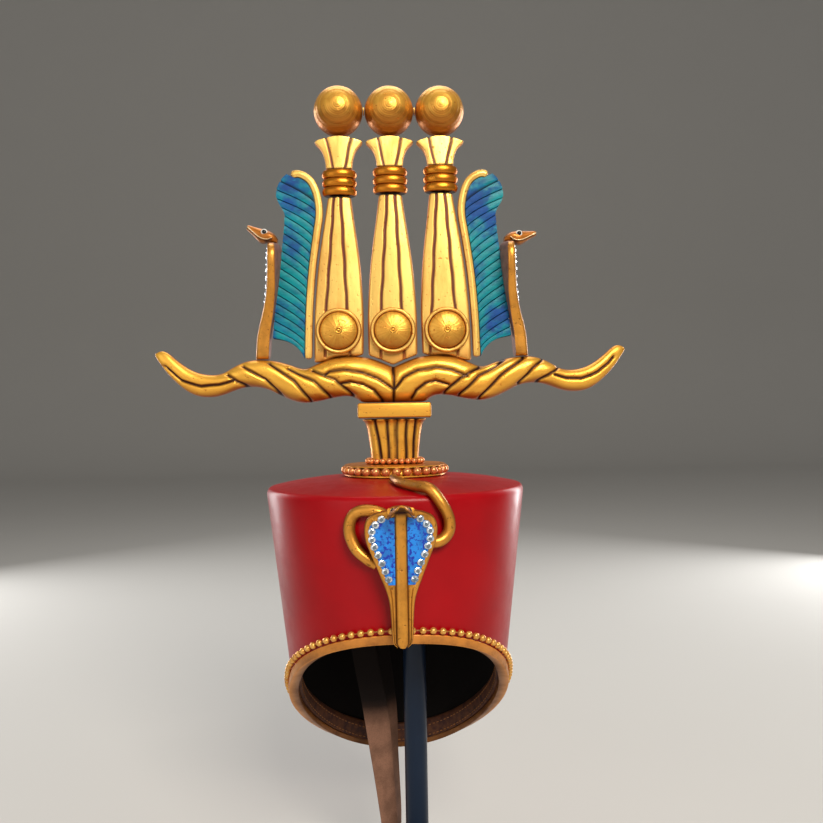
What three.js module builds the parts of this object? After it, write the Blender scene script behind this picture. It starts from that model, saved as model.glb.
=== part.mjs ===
import * as THREE from "three";
import { mergeVertices } from "three/addons/utils/BufferGeometryUtils.js";

// Driving sizes in millimetres. X is to the right, Y to the back, Z up. Z = 0 is the stand's underside.
const GAP = 0.3; // clearance between neighbouring pieces
const MERGE_DISTANCE = 1e-4; // points of a swept surface closer than this are one

// Stand
const FOOT_RADIUS = 90;
const FOOT_THICKNESS = 12;
const FOOT_EDGE = 3;
const FOOT_UNDER_EDGE = 1;
const POLE_RADIUS = 8.8;
const POLE_OFFSET = 12.5; // the pole stands this far to the right of the cap's middle
const POLE_SOCKET = 6; // depth of the pole's seat in the foot

// Cap
const CAP_TOP_HEIGHT = 326; // upper edge of the cap above the floor
const CAP_TOP_RADIUS = 98.9;
const CAP_WALL = 3;
const CAP_EDGE = 4; // rounding between the top and the wall
const CAP_DOME_RISE = 8.3;
const CAP_SIDE_TAPER = 0.118; // loss of half width per millimetre of drop
const CAP_TAPER_DROP = 138; // below this drop the sides are nearly upright
const CAP_LOWER_TAPER = 0.02;
const CAP_FRONT_TAPER = 0.02;
const RIM_FRONT_DROP = 98.7; // lowest edge of the rim trim below the upper edge, in front
const RIM_BACK_DROP = 239.4;
const RIM_SWEEP = 1.1; // above 1 the rim stays low for longer in front
const TRIM_HEIGHT = 6.2;
const TRIM_INNER_HEIGHT = 5;
const TRIM_THICKNESS = 2;
const BAND_HEIGHT = 16;
const BAND_THICKNESS = 4.5;
const BRIM_BEAD_RADIUS = 2.15;
const RIM_SLOPE_ALLOWANCE = 1.3; // the slanted rim brings the string this much nearer the trim
const STRING_LIFT = 0.5; // the brim string hangs this much clear of the wall
const CAP_SIDES = 32;
const INNER_FLAT_SHARE = 0.5; // the inside of the top is flat up to this share of its radius
const INNER_EDGE_SHARE = 0.86;
const TOP_RING_SHARES = [0.35, 0.65, 0.86]; // rings of the top, as shares of its radius
const OUTER_WALL_SHARES = [0, 0.25, 0.5, 0.75, 1]; // rings of the wall from the top down
const INNER_WALL_SHARES = [1, 0.5, 0];
const EDGE_SOFTENING = 0.3; // share of the rounded edge cut away by its facet
const BAND_CHAMFER_SHARE = 0.4; // share of the band's thickness lost at its upper edge
const BAND_CHAMFER_RISE = 0.75; // share of the band's height where that loss starts

// Plaque, stem and block that carry the crown
const PLAQUE_RADIUS = 39.4;
const PLAQUE_THICKNESS = 8;
const PLAQUE_BEAD_RADIUS = 3.1;
const PLAQUE_SEAT_SHARE = 0.25; // the string's middle lies this share of its seat inside the edge
const PLAQUE_CHAMFER = 1.2;
const STEM_HEIGHT = 35;
const STEM_BASE_HALF = 18.4;
const STEM_TOP_HALF = 26.5;
const STEM_DEPTH_SHARE = 0.66; // half depth of the stem as a share of its half width
const STEM_SQUARENESS = 0.7; // power of the stem's section: 1 is an ellipse, less is squarer
const STEM_BEAD_RADIUS = 2.25;
const BLOCK_WIDTH = 56;
const BLOCK_HEIGHT = 11.6;
const BLOCK_DEPTH = 33;
const BLOCK_EDGE = 1.5;

// Horns
const HORN_HALF_SPAN = 182.6;
const HORN_HEIGHT = 42.5;
const HORN_HALF_DEPTH = 11;
const HORN_SQUARENESS = 0.85;

// Columns: bottle, collar, flare and ball
const BOTTLE_PITCH = 41.6; // between the bottles' middles at the height of the discs
const COLUMN_PITCH = 39.3; // between the columns' middles from the collars up
const BOTTLE_HALF = 19.2;
const BOTTLE_RISE = 161.5; // top of the bottles above the block
const BOTTLE_THICKNESS = 10;
const PLATE_EDGE = 1.6;
const FLARE_EDGE = 0.8;
const QUILL_EDGE = 1.2;
const BOTTLE_FOOT_STEPS = 6; // straight stretches of a bottle's foot, which follows the horns
const DISC_RISE = 55.4; // middle of the discs above the block
const DISC_RADIUS = 17.6;
const DISC_DEPTH = 6;
const DOME_RADIUS = 13.4;
const COLLAR_HALF = 13.4;
const COLLAR_DEPTH_SHARE = 0.62;
const COLLAR_HEIGHT = 20;
const COLLAR_ROLLS = 3;
const COLLAR_WAIST_SHARE = 0.87; // half width between two rolls, as a share of theirs
const FLARE_TOP_HALF = 18.4;
const FLARE_BASE_HALF = 10.1;
const FLARE_RISE = 207; // top of the flares above the block
const FLARE_THICKNESS = 9;
const BALL_RADIUS = 18.9;
const JOINT_RADIUS = 3;

// Feathers
const FEATHER_REACH = 41; // from the quill's middle line at its lowest to the outermost barb
const FEATHER_START = 52;
const FEATHER_RISE = 180; // top of the quill above the block
const QUILL_WIDTH = 5.8;
const QUILL_THICKNESS = 8;
const FEATHER_THICKNESS = 5;

// Cobras
const COBRA_HEIGHT = 88.5; // hood, without the head
const COBRA_HALF = 23.6;
const COBRA_PLATE = 5;
const COBRA_LEAN = 8; // the lower end stands this far forward of the hood
const COBRA_RIB = 5.4;
const COBRA_EDGE = 1;
const RIDGE_HALF = 4.6;
const RIDGE_RISE = 2.6;
const RIDGE_MOST_SHARE = 0.7; // the ridge takes up to this share of a narrow hood
const INLAY_THICKNESS = 0.8;
const STONE_RADIUS = 2.5;
const STONE_TABLE = 1.45;
const STONE_HEIGHT = 1.9;
const STRIP_THICKNESS = 0.8;
const STONE_CORNER = 1; // half width of the stone's end facets
const HEAD_LENGTH = 23.6;
const HEAD_HEIGHT = 10.9;
const HEAD_HALF = 7.4;
const HEAD_SQUARENESS = 0.8;
const SIDE_COBRA_X = 90; // back of the side cobras' hoods from the middle
const FRONT_COBRA_TILT = 0.126; // radians, head towards the front
const FRONT_COBRA_LIFT = 0.2;
const FRONT_COBRA_FOOT = 1.5; // foot of the front hood above the rim's lowest edge
const TAIL_RADIUS = 4;
const TAIL_HALF_SPAN = 36;
const TAIL_STEPS = 26;

// Ties
const TIE_WIDTH = 20;
const TIE_THICKNESS = 1.5;
const TIE_DROP = 280; // lower ends of the ties below the cap's upper edge
const TIE_STEPS = 14;

// Number of sides of the rounded pieces
const STRING_SIDES = 10;
const PLAQUE_SIDES = 22;
const STEM_SIDES = 18;
const DISC_SIDES = 16;
const COLLAR_SIDES = 12;
const BALL_SIDES = 16;
const FOOT_SIDES = 28;
const HORN_SIDES = 8;
const HEAD_SIDES = 8;
const POLE_SIDES = 20;
const JOINT_SIDES = 12;
const QUILL_STEPS = 15;
const FEATHER_STEPS = 22;

// Levels that follow from the sizes above
const PLAQUE_BASE = CAP_TOP_HEIGHT + CAP_DOME_RISE + GAP;
const PLAQUE_TOP = PLAQUE_BASE + PLAQUE_THICKNESS;
const STEM_BASE = PLAQUE_TOP + GAP;
const BLOCK_BASE = STEM_BASE + STEM_HEIGHT + GAP;
const HORN_BASE = BLOCK_BASE + BLOCK_HEIGHT + GAP;
const BOTTLE_TOP = HORN_BASE + BOTTLE_RISE;
const DISC_HEIGHT = HORN_BASE + DISC_RISE;
const FLARE_TOP = HORN_BASE + FLARE_RISE;
const BALL_HEIGHT = FLARE_TOP + GAP + BALL_RADIUS;

// Outline of a stem, in shares of its height and of the way from base to top half width.
const STEM_ROWS = [
  { up: 0, flare: 0 },
  { up: 0.16, flare: 0.01 },
  { up: 0.5, flare: 0.16 },
  { up: 0.8, flare: 0.37 },
  { up: 0.93, flare: 0.6 },
  { up: 1, flare: 1 },
];

// Half of the horns: distance out, upper and lower edge and depth, as shares of the horn sizes.
const HORN_ROWS = [
  { out: 0, top: 0.647, low: 0, deep: 1 },
  { out: 0.052, top: 0.745, low: 0, deep: 1 },
  { out: 0.104, top: 0.826, low: 0, deep: 1 },
  { out: 0.135, top: 0.848, low: 0.01, deep: 1 },
  { out: 0.165, top: 0.859, low: 0.096, deep: 1 },
  { out: 0.2, top: 0.859, low: 0.127, deep: 1 },
  { out: 0.257, top: 0.828, low: 0.094, deep: 1 },
  { out: 0.315, top: 0.741, low: 0.04, deep: 0.98 },
  { out: 0.36, top: 0.655, low: 0.016, deep: 0.95 },
  { out: 0.39, top: 0.647, low: 0.018, deep: 0.93 },
  { out: 0.43, top: 0.706, low: 0.064, deep: 0.9 },
  { out: 0.485, top: 0.776, low: 0.172, deep: 0.86 },
  { out: 0.53, top: 0.805, low: 0.271, deep: 0.82 },
  { out: 0.58, top: 0.812, low: 0.318, deep: 0.78 },
  { out: 0.63, top: 0.774, low: 0.311, deep: 0.74 },
  { out: 0.675, top: 0.682, low: 0.252, deep: 0.7 },
  { out: 0.72, top: 0.575, low: 0.181, deep: 0.66 },
  { out: 0.765, top: 0.551, low: 0.148, deep: 0.62 },
  { out: 0.82, top: 0.591, low: 0.167, deep: 0.57 },
  { out: 0.868, top: 0.692, low: 0.261, deep: 0.51 },
  { out: 0.915, top: 0.845, low: 0.431, deep: 0.44 },
  { out: 0.945, top: 0.96, low: 0.567, deep: 0.38 },
  { out: 0.97, top: 1, low: 0.706, deep: 0.3 },
  { out: 0.99, top: 0.976, low: 0.842, deep: 0.18 },
  { out: 1, top: 0.945, low: 0.905, deep: 0.05 },
];

// Bottle half width along its height, in shares.
const BOTTLE_ROWS = [
  { up: 0, half: 0.99 },
  { up: 0.12, half: 1 },
  { up: 0.26, half: 0.993 },
  { up: 0.4, half: 0.945 },
  { up: 0.56, half: 0.86 },
  { up: 0.72, half: 0.725 },
  { up: 0.86, half: 0.59 },
  { up: 1, half: 0.465 },
];

// Half of a flare's outline, in shares of its height and of the way from base to top half width.
const FLARE_ROWS = [
  { up: 0, half: 0 },
  { up: 0.3, half: 0.1 },
  { up: 0.6, half: 0.38 },
  { up: 0.9, half: 1 },
];

// Profile of a disc's dome, in shares of its radius and of the disc's depth.
const DOME_ROWS = [
  { out: 1, deep: 0 },
  { out: 1, deep: 0.4 },
  { out: 0.72, deep: 0.85 },
  { out: 0.3, deep: 1.1 },
];
const DOME_DEPTH_SHARE = 1.2; // depth of the dome's middle as a share of the disc's

// Profile of a disc's rim: way in from its edge in millimetres, depth as a share of the disc's.
const RIM_ROWS = [
  { inward: 0, deep: 0 },
  { inward: 0, deep: 0.55 },
  { inward: 1, deep: 0.9 },
  { inward: 2.4, deep: 1 },
];
const RIM_INNER_SHARE = 0.6; // depth of the rim's inner edge

// The groove for the beads round the plaque, in shares of the seat's radius, from below up.
const GROOVE_ROWS = [
  { inward: 0.25, up: -0.98 },
  { inward: 0.72, up: -0.72 },
  { inward: 1, up: 0 },
  { inward: 0.72, up: 0.72 },
  { inward: 0.25, up: 0.98 },
];

// The three columns: side, and how far the collar stands above the common level.
const COLUMNS = [
  { name: "left", side: -1, lift: -1.6 },
  { name: "centre", side: 0, lift: 0.3 },
  { name: "right", side: 1, lift: 1.3 },
];

// Middle line of the quill from its crooked tip down, in shares of the feather's reach and rise.
const QUILL_LINE = [
  { out: 0.59, up: 0.978 },
  { out: 0.5, up: 0.986 },
  { out: 0.38, up: 0.981 },
  { out: 0.235, up: 0.957 },
  { out: 0.14, up: 0.915 },
  { out: 0.085, up: 0.86 },
  { out: 0.08, up: 0.8 },
  { out: 0.135, up: 0.72 },
  { out: 0.23, up: 0.565 },
  { out: 0.294, up: 0.385 },
  { out: 0.325, up: 0.19 },
];

// Outer outline of the feather from the quill's tip down to the quill's foot, in the same shares.
const FEATHER_EDGE = [
  { out: 0.68, up: 0.985 },
  { out: 0.77, up: 0.965 },
  { out: 0.855, up: 0.93 },
  { out: 0.88, up: 0.895 },
  { out: 0.85, up: 0.868 },
  { out: 0.775, up: 0.838 },
  { out: 0.735, up: 0.82 },
  { out: 0.73, up: 0.8 },
  { out: 0.75, up: 0.74 },
  { out: 0.805, up: 0.63 },
  { out: 0.87, up: 0.51 },
  { out: 0.94, up: 0.39 },
  { out: 0.985, up: 0.283 },
  { out: 0.82, up: 0.263 },
  { out: 0.6, up: 0.245 },
  { out: 0.5, up: 0.228 },
  { out: 0.445, up: 0.205 },
];

// Cobra hood: half width, forward lean, plate thickness and back rib along its height, in shares.
const HOOD_ROWS = [
  { up: 0, half: 0.16, lean: 1, thick: 1.5, rib: 0 },
  { up: 0.03, half: 0.27, lean: 1, thick: 1.6, rib: 0 },
  { up: 0.2, half: 0.315, lean: 0.86, thick: 1.6, rib: 0 },
  { up: 0.36, half: 0.38, lean: 0.6, thick: 1.45, rib: 0 },
  { up: 0.52, half: 0.6, lean: 0.33, thick: 1.25, rib: 0.06 },
  { up: 0.6, half: 0.72, lean: 0.2, thick: 1.15, rib: 0.2 },
  { up: 0.76, half: 0.955, lean: 0.03, thick: 1, rib: 0.6 },
  { up: 0.83, half: 1, lean: 0, thick: 1, rib: 0.76 },
  { up: 0.9, half: 0.985, lean: 0, thick: 1, rib: 0.9 },
  { up: 0.955, half: 0.86, lean: 0.02, thick: 0.95, rib: 1 },
  { up: 0.985, half: 0.64, lean: 0.05, thick: 0.85, rib: 1 },
  { up: 1, half: 0.4, lean: 0.08, thick: 0.7, rib: 1 },
];

// Stones of one side of a hood, in shares of the hood's half width and height.
const STONE_ROWS = [
  { across: 0.53, up: 0.94 },
  { across: 0.7, up: 0.9 },
  { across: 0.8, up: 0.85 },
  { across: 0.8, up: 0.79 },
  { across: 0.735, up: 0.735 },
  { across: 0.64, up: 0.675 },
  { across: 0.535, up: 0.615 },
  { across: 0.445, up: 0.556 },
  { across: 0.36, up: 0.497 },
];

// Section of one half of the ridge down the hood's front, in shares of its half width and rise.
const RIDGE_ROWS = [
  { across: 1, out: 0 },
  { across: 0.75, out: 0.7 },
  { across: 0, out: 1 },
];

// Back of the hood's section: share of its half width, and whether the rib stands there.
const HOOD_BACK_ROWS = [
  { across: 0.9, rib: 0 },
  { across: 0.3, rib: 1 },
];

// A stone along its row, in shares of its radius: its two ends and the two ends of its table.
const STONE_STEPS = [
  { way: -1, wide: STONE_CORNER, table: 0.8, out: STRIP_THICKNESS },
  { way: -0.42, wide: STONE_RADIUS, table: STONE_TABLE / STONE_RADIUS, out: STONE_HEIGHT },
  { way: 0.42, wide: STONE_RADIUS, table: STONE_TABLE / STONE_RADIUS, out: STONE_HEIGHT },
  { way: 1, wide: STONE_CORNER, table: 0.8, out: STRIP_THICKNESS },
];

// Corners of a section four-sided round its middle.
const CORNERS = [
  { wide: -1, thick: -1 },
  { wide: 1, thick: -1 },
  { wide: 1, thick: 1 },
  { wide: -1, thick: 1 },
];

// Cobra head from the nape to the snout, in shares of its length, height and greatest half width.
const HEAD_ROWS = [
  { out: -0.064, low: 0.092, high: 0.459, half: 0.541 },
  { out: 0.064, low: 0, high: 0.798, half: 0.892 },
  { out: 0.254, low: 0, high: 0.982, half: 1 },
  { out: 0.424, low: 0.046, high: 1, half: 0.946 },
  { out: 0.593, low: 0.284, high: 0.954, half: 0.757 },
  { out: 0.784, low: 0.541, high: 0.945, half: 0.541 },
  { out: 0.932, low: 0.688, high: 0.936, half: 0.351 },
  { out: 1, low: 0.771, high: 0.89, half: 0.176 },
];

// The front cobra's tail on the cap: across and drop on the wall in shares of the loops' half span, way in on
// the top in shares of the cap's radius, and lift and thickness in shares of the tail's radius.
const TAIL_PATH = [
  { across: -0.444, drop: 1.222, inward: 0, raise: 0, thick: 0.86 },
  { across: -0.611, drop: 1.111, inward: 0, raise: 0, thick: 0.97 },
  { across: -0.819, drop: 0.917, inward: 0, raise: 0, thick: 1 },
  { across: -0.933, drop: 0.625, inward: 0, raise: 0, thick: 1 },
  { across: -0.889, drop: 0.347, inward: 0, raise: 0, thick: 1 },
  { across: -0.694, drop: 0.222, inward: 0, raise: 0, thick: 1 },
  { across: -0.361, drop: 0.264, inward: 0, raise: 0, thick: 1 },
  { across: 0, drop: 0.528, inward: 0, raise: 0, thick: 1 },
  { across: 0.361, drop: 0.778, inward: 0, raise: 0, thick: 1 },
  { across: 0.694, drop: 0.819, inward: 0, raise: 0, thick: 1 },
  { across: 0.883, drop: 0.667, inward: 0, raise: 0, thick: 1 },
  { across: 0.903, drop: 0.417, inward: 0, raise: 0, thick: 1 },
  { across: 0.778, drop: 0.139, inward: 0, raise: 0, thick: 1 },
  { across: 0.556, drop: 0, inward: 0.03, raise: 0.15, thick: 1 },
  { across: 0.264, drop: 0, inward: 0.131, raise: 0, thick: 0.92 },
  { across: 0.028, drop: 0, inward: 0.243, raise: 0, thick: 0.85 },
  { across: -0.067, drop: 0, inward: 0.384, raise: 0, thick: 0.75 },
  { across: -0.072, drop: 0, inward: 0.531, raise: 0, thick: 0.65 },
];

// The two ties from the inside of the top down past the rim: place as shares of the cap's radius, way down as
// a share of the tie, turn in radians and share of the width.
const TIES = [
  {
    name: "front",
    rows: [
      { across: -0.344, back: 0.243, down: 0, turn: 0.1, wide: 1 },
      { across: -0.303, back: 0.243, down: 0.4, turn: 0.1, wide: 1 },
      { across: -0.197, back: 0.222, down: 0.665, turn: 0.1, wide: 1 },
      { across: -0.142, back: 0.182, down: 0.806, turn: 0.5, wide: 0.92 },
      { across: -0.091, back: 0.142, down: 0.951, turn: 0.75, wide: 0.85 },
      { across: -0.081, back: 0.121, down: 1, turn: 0.75, wide: 0.8 },
    ],
  },
  {
    name: "back",
    rows: [
      { across: -0.202, back: 0.364, down: 0, turn: 0.9, wide: 0.9 },
      { across: -0.142, back: 0.374, down: 0.4, turn: 1, wide: 0.9 },
      { across: -0.046, back: 0.364, down: 0.665, turn: 1.15, wide: 0.85 },
      { across: -0.02, back: 0.344, down: 0.806, turn: 1.3, wide: 0.75 },
      { across: 0.01, back: 0.313, down: 0.951, turn: 1.4, wide: 0.65 },
      { across: 0.01, back: 0.313, down: 1, turn: 1.4, wide: 0.6 },
    ],
  },
];

const COLOURS = {
  paleGold: { color: 0xf3db84, roughness: 0.42, metalness: 0.35 },
  gold: { color: 0xd9a441, roughness: 0.38, metalness: 0.6 },
  copper: { color: 0xb5701c, roughness: 0.35, metalness: 0.7 },
  bronze: { color: 0xb9812f, roughness: 0.4, metalness: 0.55 },
  beadCopper: { color: 0xd08040, roughness: 0.3, metalness: 0.8 },
  beadGold: { color: 0xc9a050, roughness: 0.3, metalness: 0.8 },
  crimson: { color: 0xa80012, roughness: 0.3, metalness: 0 },
  trim: { color: 0xb07a35, roughness: 0.5, metalness: 0.3 },
  brown: { color: 0x3a1a08, roughness: 0.8, metalness: 0 },
  turquoise: { color: 0x10849f, roughness: 0.5, metalness: 0.1 },
  blue: { color: 0x1f7fe0, roughness: 0.45, metalness: 0 },
  stone: { color: 0xdfe6ec, roughness: 0.08, metalness: 0.2 },
  navy: { color: 0x16283c, roughness: 0.4, metalness: 0.4 },
  tan: { color: 0x8a6450, roughness: 0.85, metalness: 0 },
};

// Skins rings of equally many points. A looped skin closes on its first ring, another gets flat ends.
function skin(rings, looped = false) {
  const size = rings[0].length;
  const points = rings.flat();
  const faces = [];
  const count = looped ? rings.length : rings.length - 1;
  for (let i = 0; i < count; i += 1) {
    const here = i * size;
    const next = ((i + 1) % rings.length) * size;
    for (let j = 0; j < size; j += 1) {
      const k = (j + 1) % size;
      faces.push(here + j, next + j, next + k);
      faces.push(here + j, next + k, here + k);
    }
  }
  if (!looped) {
    const last = (rings.length - 1) * size;
    const ends = [rings[0], rings[rings.length - 1]].map((ring) =>
      ring.reduce((sum, p) => sum.add(p), new THREE.Vector3()).divideScalar(size)
    );
    points.push(...ends);
    const first = points.length - 2;
    for (let j = 0; j < size; j += 1) {
      const k = (j + 1) % size;
      faces.push(first, j, k);
      faces.push(first + 1, last + k, last + j);
    }
  }
  return outward(points, faces);
}

// A geometry from points and faces, turned so that its faces point out.
function outward(points, faces) {
  let volume = 0;
  for (let i = 0; i < faces.length; i += 3) {
    const [a, b, c] = [points[faces[i]], points[faces[i + 1]], points[faces[i + 2]]];
    volume += a.dot(b.clone().cross(c));
  }
  if (volume < 0) faces.reverse();
  const geometry = new THREE.BufferGeometry().setFromPoints(points);
  geometry.setIndex(faces);
  return geometry;
}

// A flat plate from an outline in X and Z, with rounded edges, its middle at Y = 0.
function plate(outline, thickness, edge) {
  const geometry = new THREE.ExtrudeGeometry(new THREE.Shape(outline), {
    depth: thickness - 2 * edge,
    bevelEnabled: edge > 0,
    bevelThickness: edge,
    bevelSize: edge,
    bevelOffset: -edge,
    bevelSegments: 1,
  });
  geometry.translate(0, 0, edge - thickness / 2);
  geometry.rotateX(Math.PI / 2);
  return geometry;
}

// Value of a named column of a table at a share of another, in straight steps.
function along(rows, key, share, column) {
  const index = rows.findIndex((row) => row[key] >= share);
  if (index < 0) return rows[rows.length - 1][column];
  if (index === 0) return rows[0][column];
  const low = rows[index - 1];
  const high = rows[index];
  return low[column] + ((high[column] - low[column]) * (share - low[key])) / (high[key] - low[key]);
}

const group = new THREE.Group();

function piece(name, geometry, colour) {
  const mesh = new THREE.Mesh(geometry, new THREE.MeshStandardMaterial(COLOURS[colour]));
  mesh.name = name;
  group.add(mesh);
  return mesh;
}

function angles(count) {
  return Array.from({ length: count }, (_, i) => (i * 2 * Math.PI) / count);
}

// A share raised to a power with its sign kept, which makes an oval squarer.
function squarer(share, power) {
  return Math.sign(share) * Math.pow(Math.abs(share), power);
}

// Half width and half depth of the cap's outside at a drop below its upper edge.
function capHalf(drop) {
  const upper = Math.min(Math.max(drop, 0), CAP_TAPER_DROP);
  const lower = Math.max(drop - CAP_TAPER_DROP, 0);
  return {
    wide: CAP_TOP_RADIUS - CAP_SIDE_TAPER * upper - CAP_LOWER_TAPER * lower,
    deep: CAP_TOP_RADIUS - CAP_FRONT_TAPER * Math.max(drop, 0),
  };
}

// Point on the cap's wall, inset from its outside. Angle 0 is the front.
function capPoint(angle, drop, inset) {
  const half = capHalf(drop);
  return new THREE.Vector3(
    (half.wide - inset) * Math.sin(angle),
    -(half.deep - inset) * Math.cos(angle),
    CAP_TOP_HEIGHT - drop
  );
}

function rimDrop(angle) {
  const way = Math.pow((1 - Math.cos(angle)) / 2, RIM_SWEEP);
  return RIM_FRONT_DROP + (RIM_BACK_DROP - RIM_FRONT_DROP) * way;
}

function domeRise(radius) {
  return CAP_DOME_RISE * (1 - Math.pow(Math.min(radius / CAP_TOP_RADIUS, 1), 3));
}

// Height of the inside of the top above the cap's upper edge, at a radius.
function ceilingRise(radius) {
  const near = (CAP_TOP_RADIUS - CAP_WALL) * INNER_FLAT_SHARE;
  const far = (CAP_TOP_RADIUS - CAP_WALL) * INNER_EDGE_SHARE;
  const share = Math.min(Math.max((radius - near) / (far - near), 0), 1);
  return domeRise(near) + (domeRise(far) - domeRise(near)) * share - CAP_WALL;
}

function topRing(radius, sink) {
  return angles(CAP_SIDES).map(
    (angle) =>
      new THREE.Vector3(
        radius * Math.sin(angle),
        -radius * Math.cos(angle),
        CAP_TOP_HEIGHT + domeRise(radius) - sink
      )
  );
}

function wallRing(share, inset) {
  return angles(CAP_SIDES).map((angle) => {
    const lowest = rimDrop(angle) - TRIM_THICKNESS - GAP;
    return capPoint(angle, CAP_EDGE + share * (lowest - CAP_EDGE), inset);
  });
}

function capShell() {
  const inner = CAP_TOP_RADIUS - CAP_WALL;
  const rings = TOP_RING_SHARES.map((share) => topRing(CAP_TOP_RADIUS * share, 0));
  rings.push(topRing(CAP_TOP_RADIUS - CAP_EDGE, 0));
  rings.push(topRing(CAP_TOP_RADIUS - CAP_EDGE * EDGE_SOFTENING, CAP_EDGE * EDGE_SOFTENING));
  OUTER_WALL_SHARES.forEach((share) => rings.push(wallRing(share, 0)));
  INNER_WALL_SHARES.forEach((share) => rings.push(wallRing(share, CAP_WALL)));
  rings.push(topRing(inner * INNER_EDGE_SHARE, CAP_WALL));
  rings.push(topRing(inner * INNER_FLAT_SHARE, CAP_WALL));
  return skin(rings);
}

// A band around the rim from rows of inset and height above the rim's lowest edge.
function rimBand(section) {
  return skin(
    angles(CAP_SIDES).map((angle) =>
      section.map((corner) => capPoint(angle, rimDrop(angle) - corner.rise, corner.inset))
    ),
    true
  );
}

function brimTrim() {
  const outside = -GAP - TRIM_THICKNESS;
  const inside = CAP_WALL + GAP + TRIM_THICKNESS;
  return rimBand([
    { inset: outside, rise: 0 },
    { inset: outside, rise: TRIM_HEIGHT },
    { inset: -GAP, rise: TRIM_HEIGHT },
    { inset: -GAP, rise: TRIM_THICKNESS },
    { inset: CAP_WALL + GAP, rise: TRIM_THICKNESS },
    { inset: CAP_WALL + GAP, rise: TRIM_INNER_HEIGHT },
    { inset: inside, rise: TRIM_INNER_HEIGHT },
    { inset: inside, rise: 0 },
  ]);
}

function sweatBand() {
  const low = TRIM_INNER_HEIGHT + GAP;
  const near = CAP_WALL + GAP;
  return rimBand([
    { inset: near, rise: low },
    { inset: near, rise: low + BAND_HEIGHT },
    { inset: near + BAND_THICKNESS * (1 - BAND_CHAMFER_SHARE), rise: low + BAND_HEIGHT },
    { inset: near + BAND_THICKNESS, rise: low + BAND_HEIGHT * BAND_CHAMFER_RISE },
    { inset: near + BAND_THICKNESS, rise: low },
  ]);
}

// Circle of points round a path point, in the plane of two directions.
function circle(centre, first, second, radius, sides) {
  return angles(sides).map((turn) =>
    centre
      .clone()
      .addScaledVector(first, radius * Math.cos(turn))
      .addScaledVector(second, radius * Math.sin(turn))
  );
}

// A closed string round the Z axis.
function stringLoop(pointAt, steps, radius) {
  const path = angles(steps).map(pointAt);
  const rings = path.map((centre, i) => {
    const ahead = path[(i + 1) % steps];
    const behind = path[(i + steps - 1) % steps];
    const forward = ahead.clone().sub(behind).normalize();
    const out = new THREE.Vector3(centre.x, centre.y, 0).normalize();
    const up = new THREE.Vector3().crossVectors(forward, out).normalize();
    const side = new THREE.Vector3().crossVectors(up, forward);
    return circle(centre, side, up, radius, STRING_SIDES);
  });
  return skin(rings, true);
}

function brimBeads() {
  const rise = TRIM_HEIGHT + (GAP + BRIM_BEAD_RADIUS) * RIM_SLOPE_ALLOWANCE;
  const inset = -GAP - STRING_LIFT - BRIM_BEAD_RADIUS;
  const pointAt = (angle) => capPoint(angle, rimDrop(angle) - rise, inset);
  return stringLoop(pointAt, CAP_SIDES, BRIM_BEAD_RADIUS);
}

// Radius of the middle of the string round the plaque.
function plaqueStringRadius() {
  return PLAQUE_RADIUS - (PLAQUE_BEAD_RADIUS + GAP) * PLAQUE_SEAT_SHARE;
}

// Lathe profile of the plaque, with a groove round its edge for the beads.
function plaqueProfile() {
  const middle = PLAQUE_BASE + PLAQUE_THICKNESS / 2;
  const seat = PLAQUE_BEAD_RADIUS + GAP;
  const string = plaqueStringRadius();
  const groove = GROOVE_ROWS.map((row) => [string - seat * row.inward, middle + seat * row.up]);
  const underside = [0, PLAQUE_RADIUS / 2, PLAQUE_RADIUS].map((radius) => [
    radius,
    CAP_TOP_HEIGHT + domeRise(radius) + GAP,
  ]);
  return [
    ...underside,
    [PLAQUE_RADIUS, groove[0][1]],
    ...groove,
    [PLAQUE_RADIUS, groove[groove.length - 1][1]],
    [PLAQUE_RADIUS - PLAQUE_CHAMFER, PLAQUE_TOP],
    [0, PLAQUE_TOP],
  ];
}

function lathe(profile, sides) {
  const points = profile.map(([radius, height]) => new THREE.Vector2(radius, height));
  const geometry = new THREE.LatheGeometry(points, sides);
  geometry.rotateX(Math.PI / 2);
  return outwardCopy(geometry);
}

// The same geometry merged, with its faces turned out.
function outwardCopy(geometry) {
  const bare = geometry.clone();
  bare.deleteAttribute("normal");
  bare.deleteAttribute("uv");
  const merged = mergeVertices(bare, MERGE_DISTANCE);
  const place = merged.attributes.position;
  const pointOf = (_, i) => new THREE.Vector3().fromBufferAttribute(place, i);
  const points = Array.from({ length: place.count }, pointOf);
  const faces = [];
  for (let i = 0; i < merged.index.count; i += 3) {
    const face = [0, 1, 2].map((corner) => merged.index.getX(i + corner));
    if (new Set(face).size === 3) faces.push(...face);
  }
  return outward(points, faces);
}

function plaqueBeads() {
  const ring = plaqueStringRadius();
  const height = PLAQUE_BASE + PLAQUE_THICKNESS / 2;
  const pointAt = (angle) => new THREE.Vector3(ring * Math.sin(angle), -ring * Math.cos(angle), height);
  return stringLoop(pointAt, PLAQUE_SIDES, PLAQUE_BEAD_RADIUS);
}

// Section of the stem and of the string round it: an oval with flattened sides.
function stemPoint(angle, half, height, grow) {
  const wide = squarer(Math.sin(angle), STEM_SQUARENESS);
  const deep = squarer(Math.cos(angle), STEM_SQUARENESS);
  return new THREE.Vector3((half + grow) * wide, -(half * STEM_DEPTH_SHARE + grow) * deep, height);
}

function stem() {
  return skin(
    STEM_ROWS.map((row) => {
      const half = STEM_BASE_HALF + (STEM_TOP_HALF - STEM_BASE_HALF) * row.flare;
      return angles(STEM_SIDES).map((angle) => stemPoint(angle, half, STEM_BASE + row.up * STEM_HEIGHT, 0));
    })
  );
}

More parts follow.
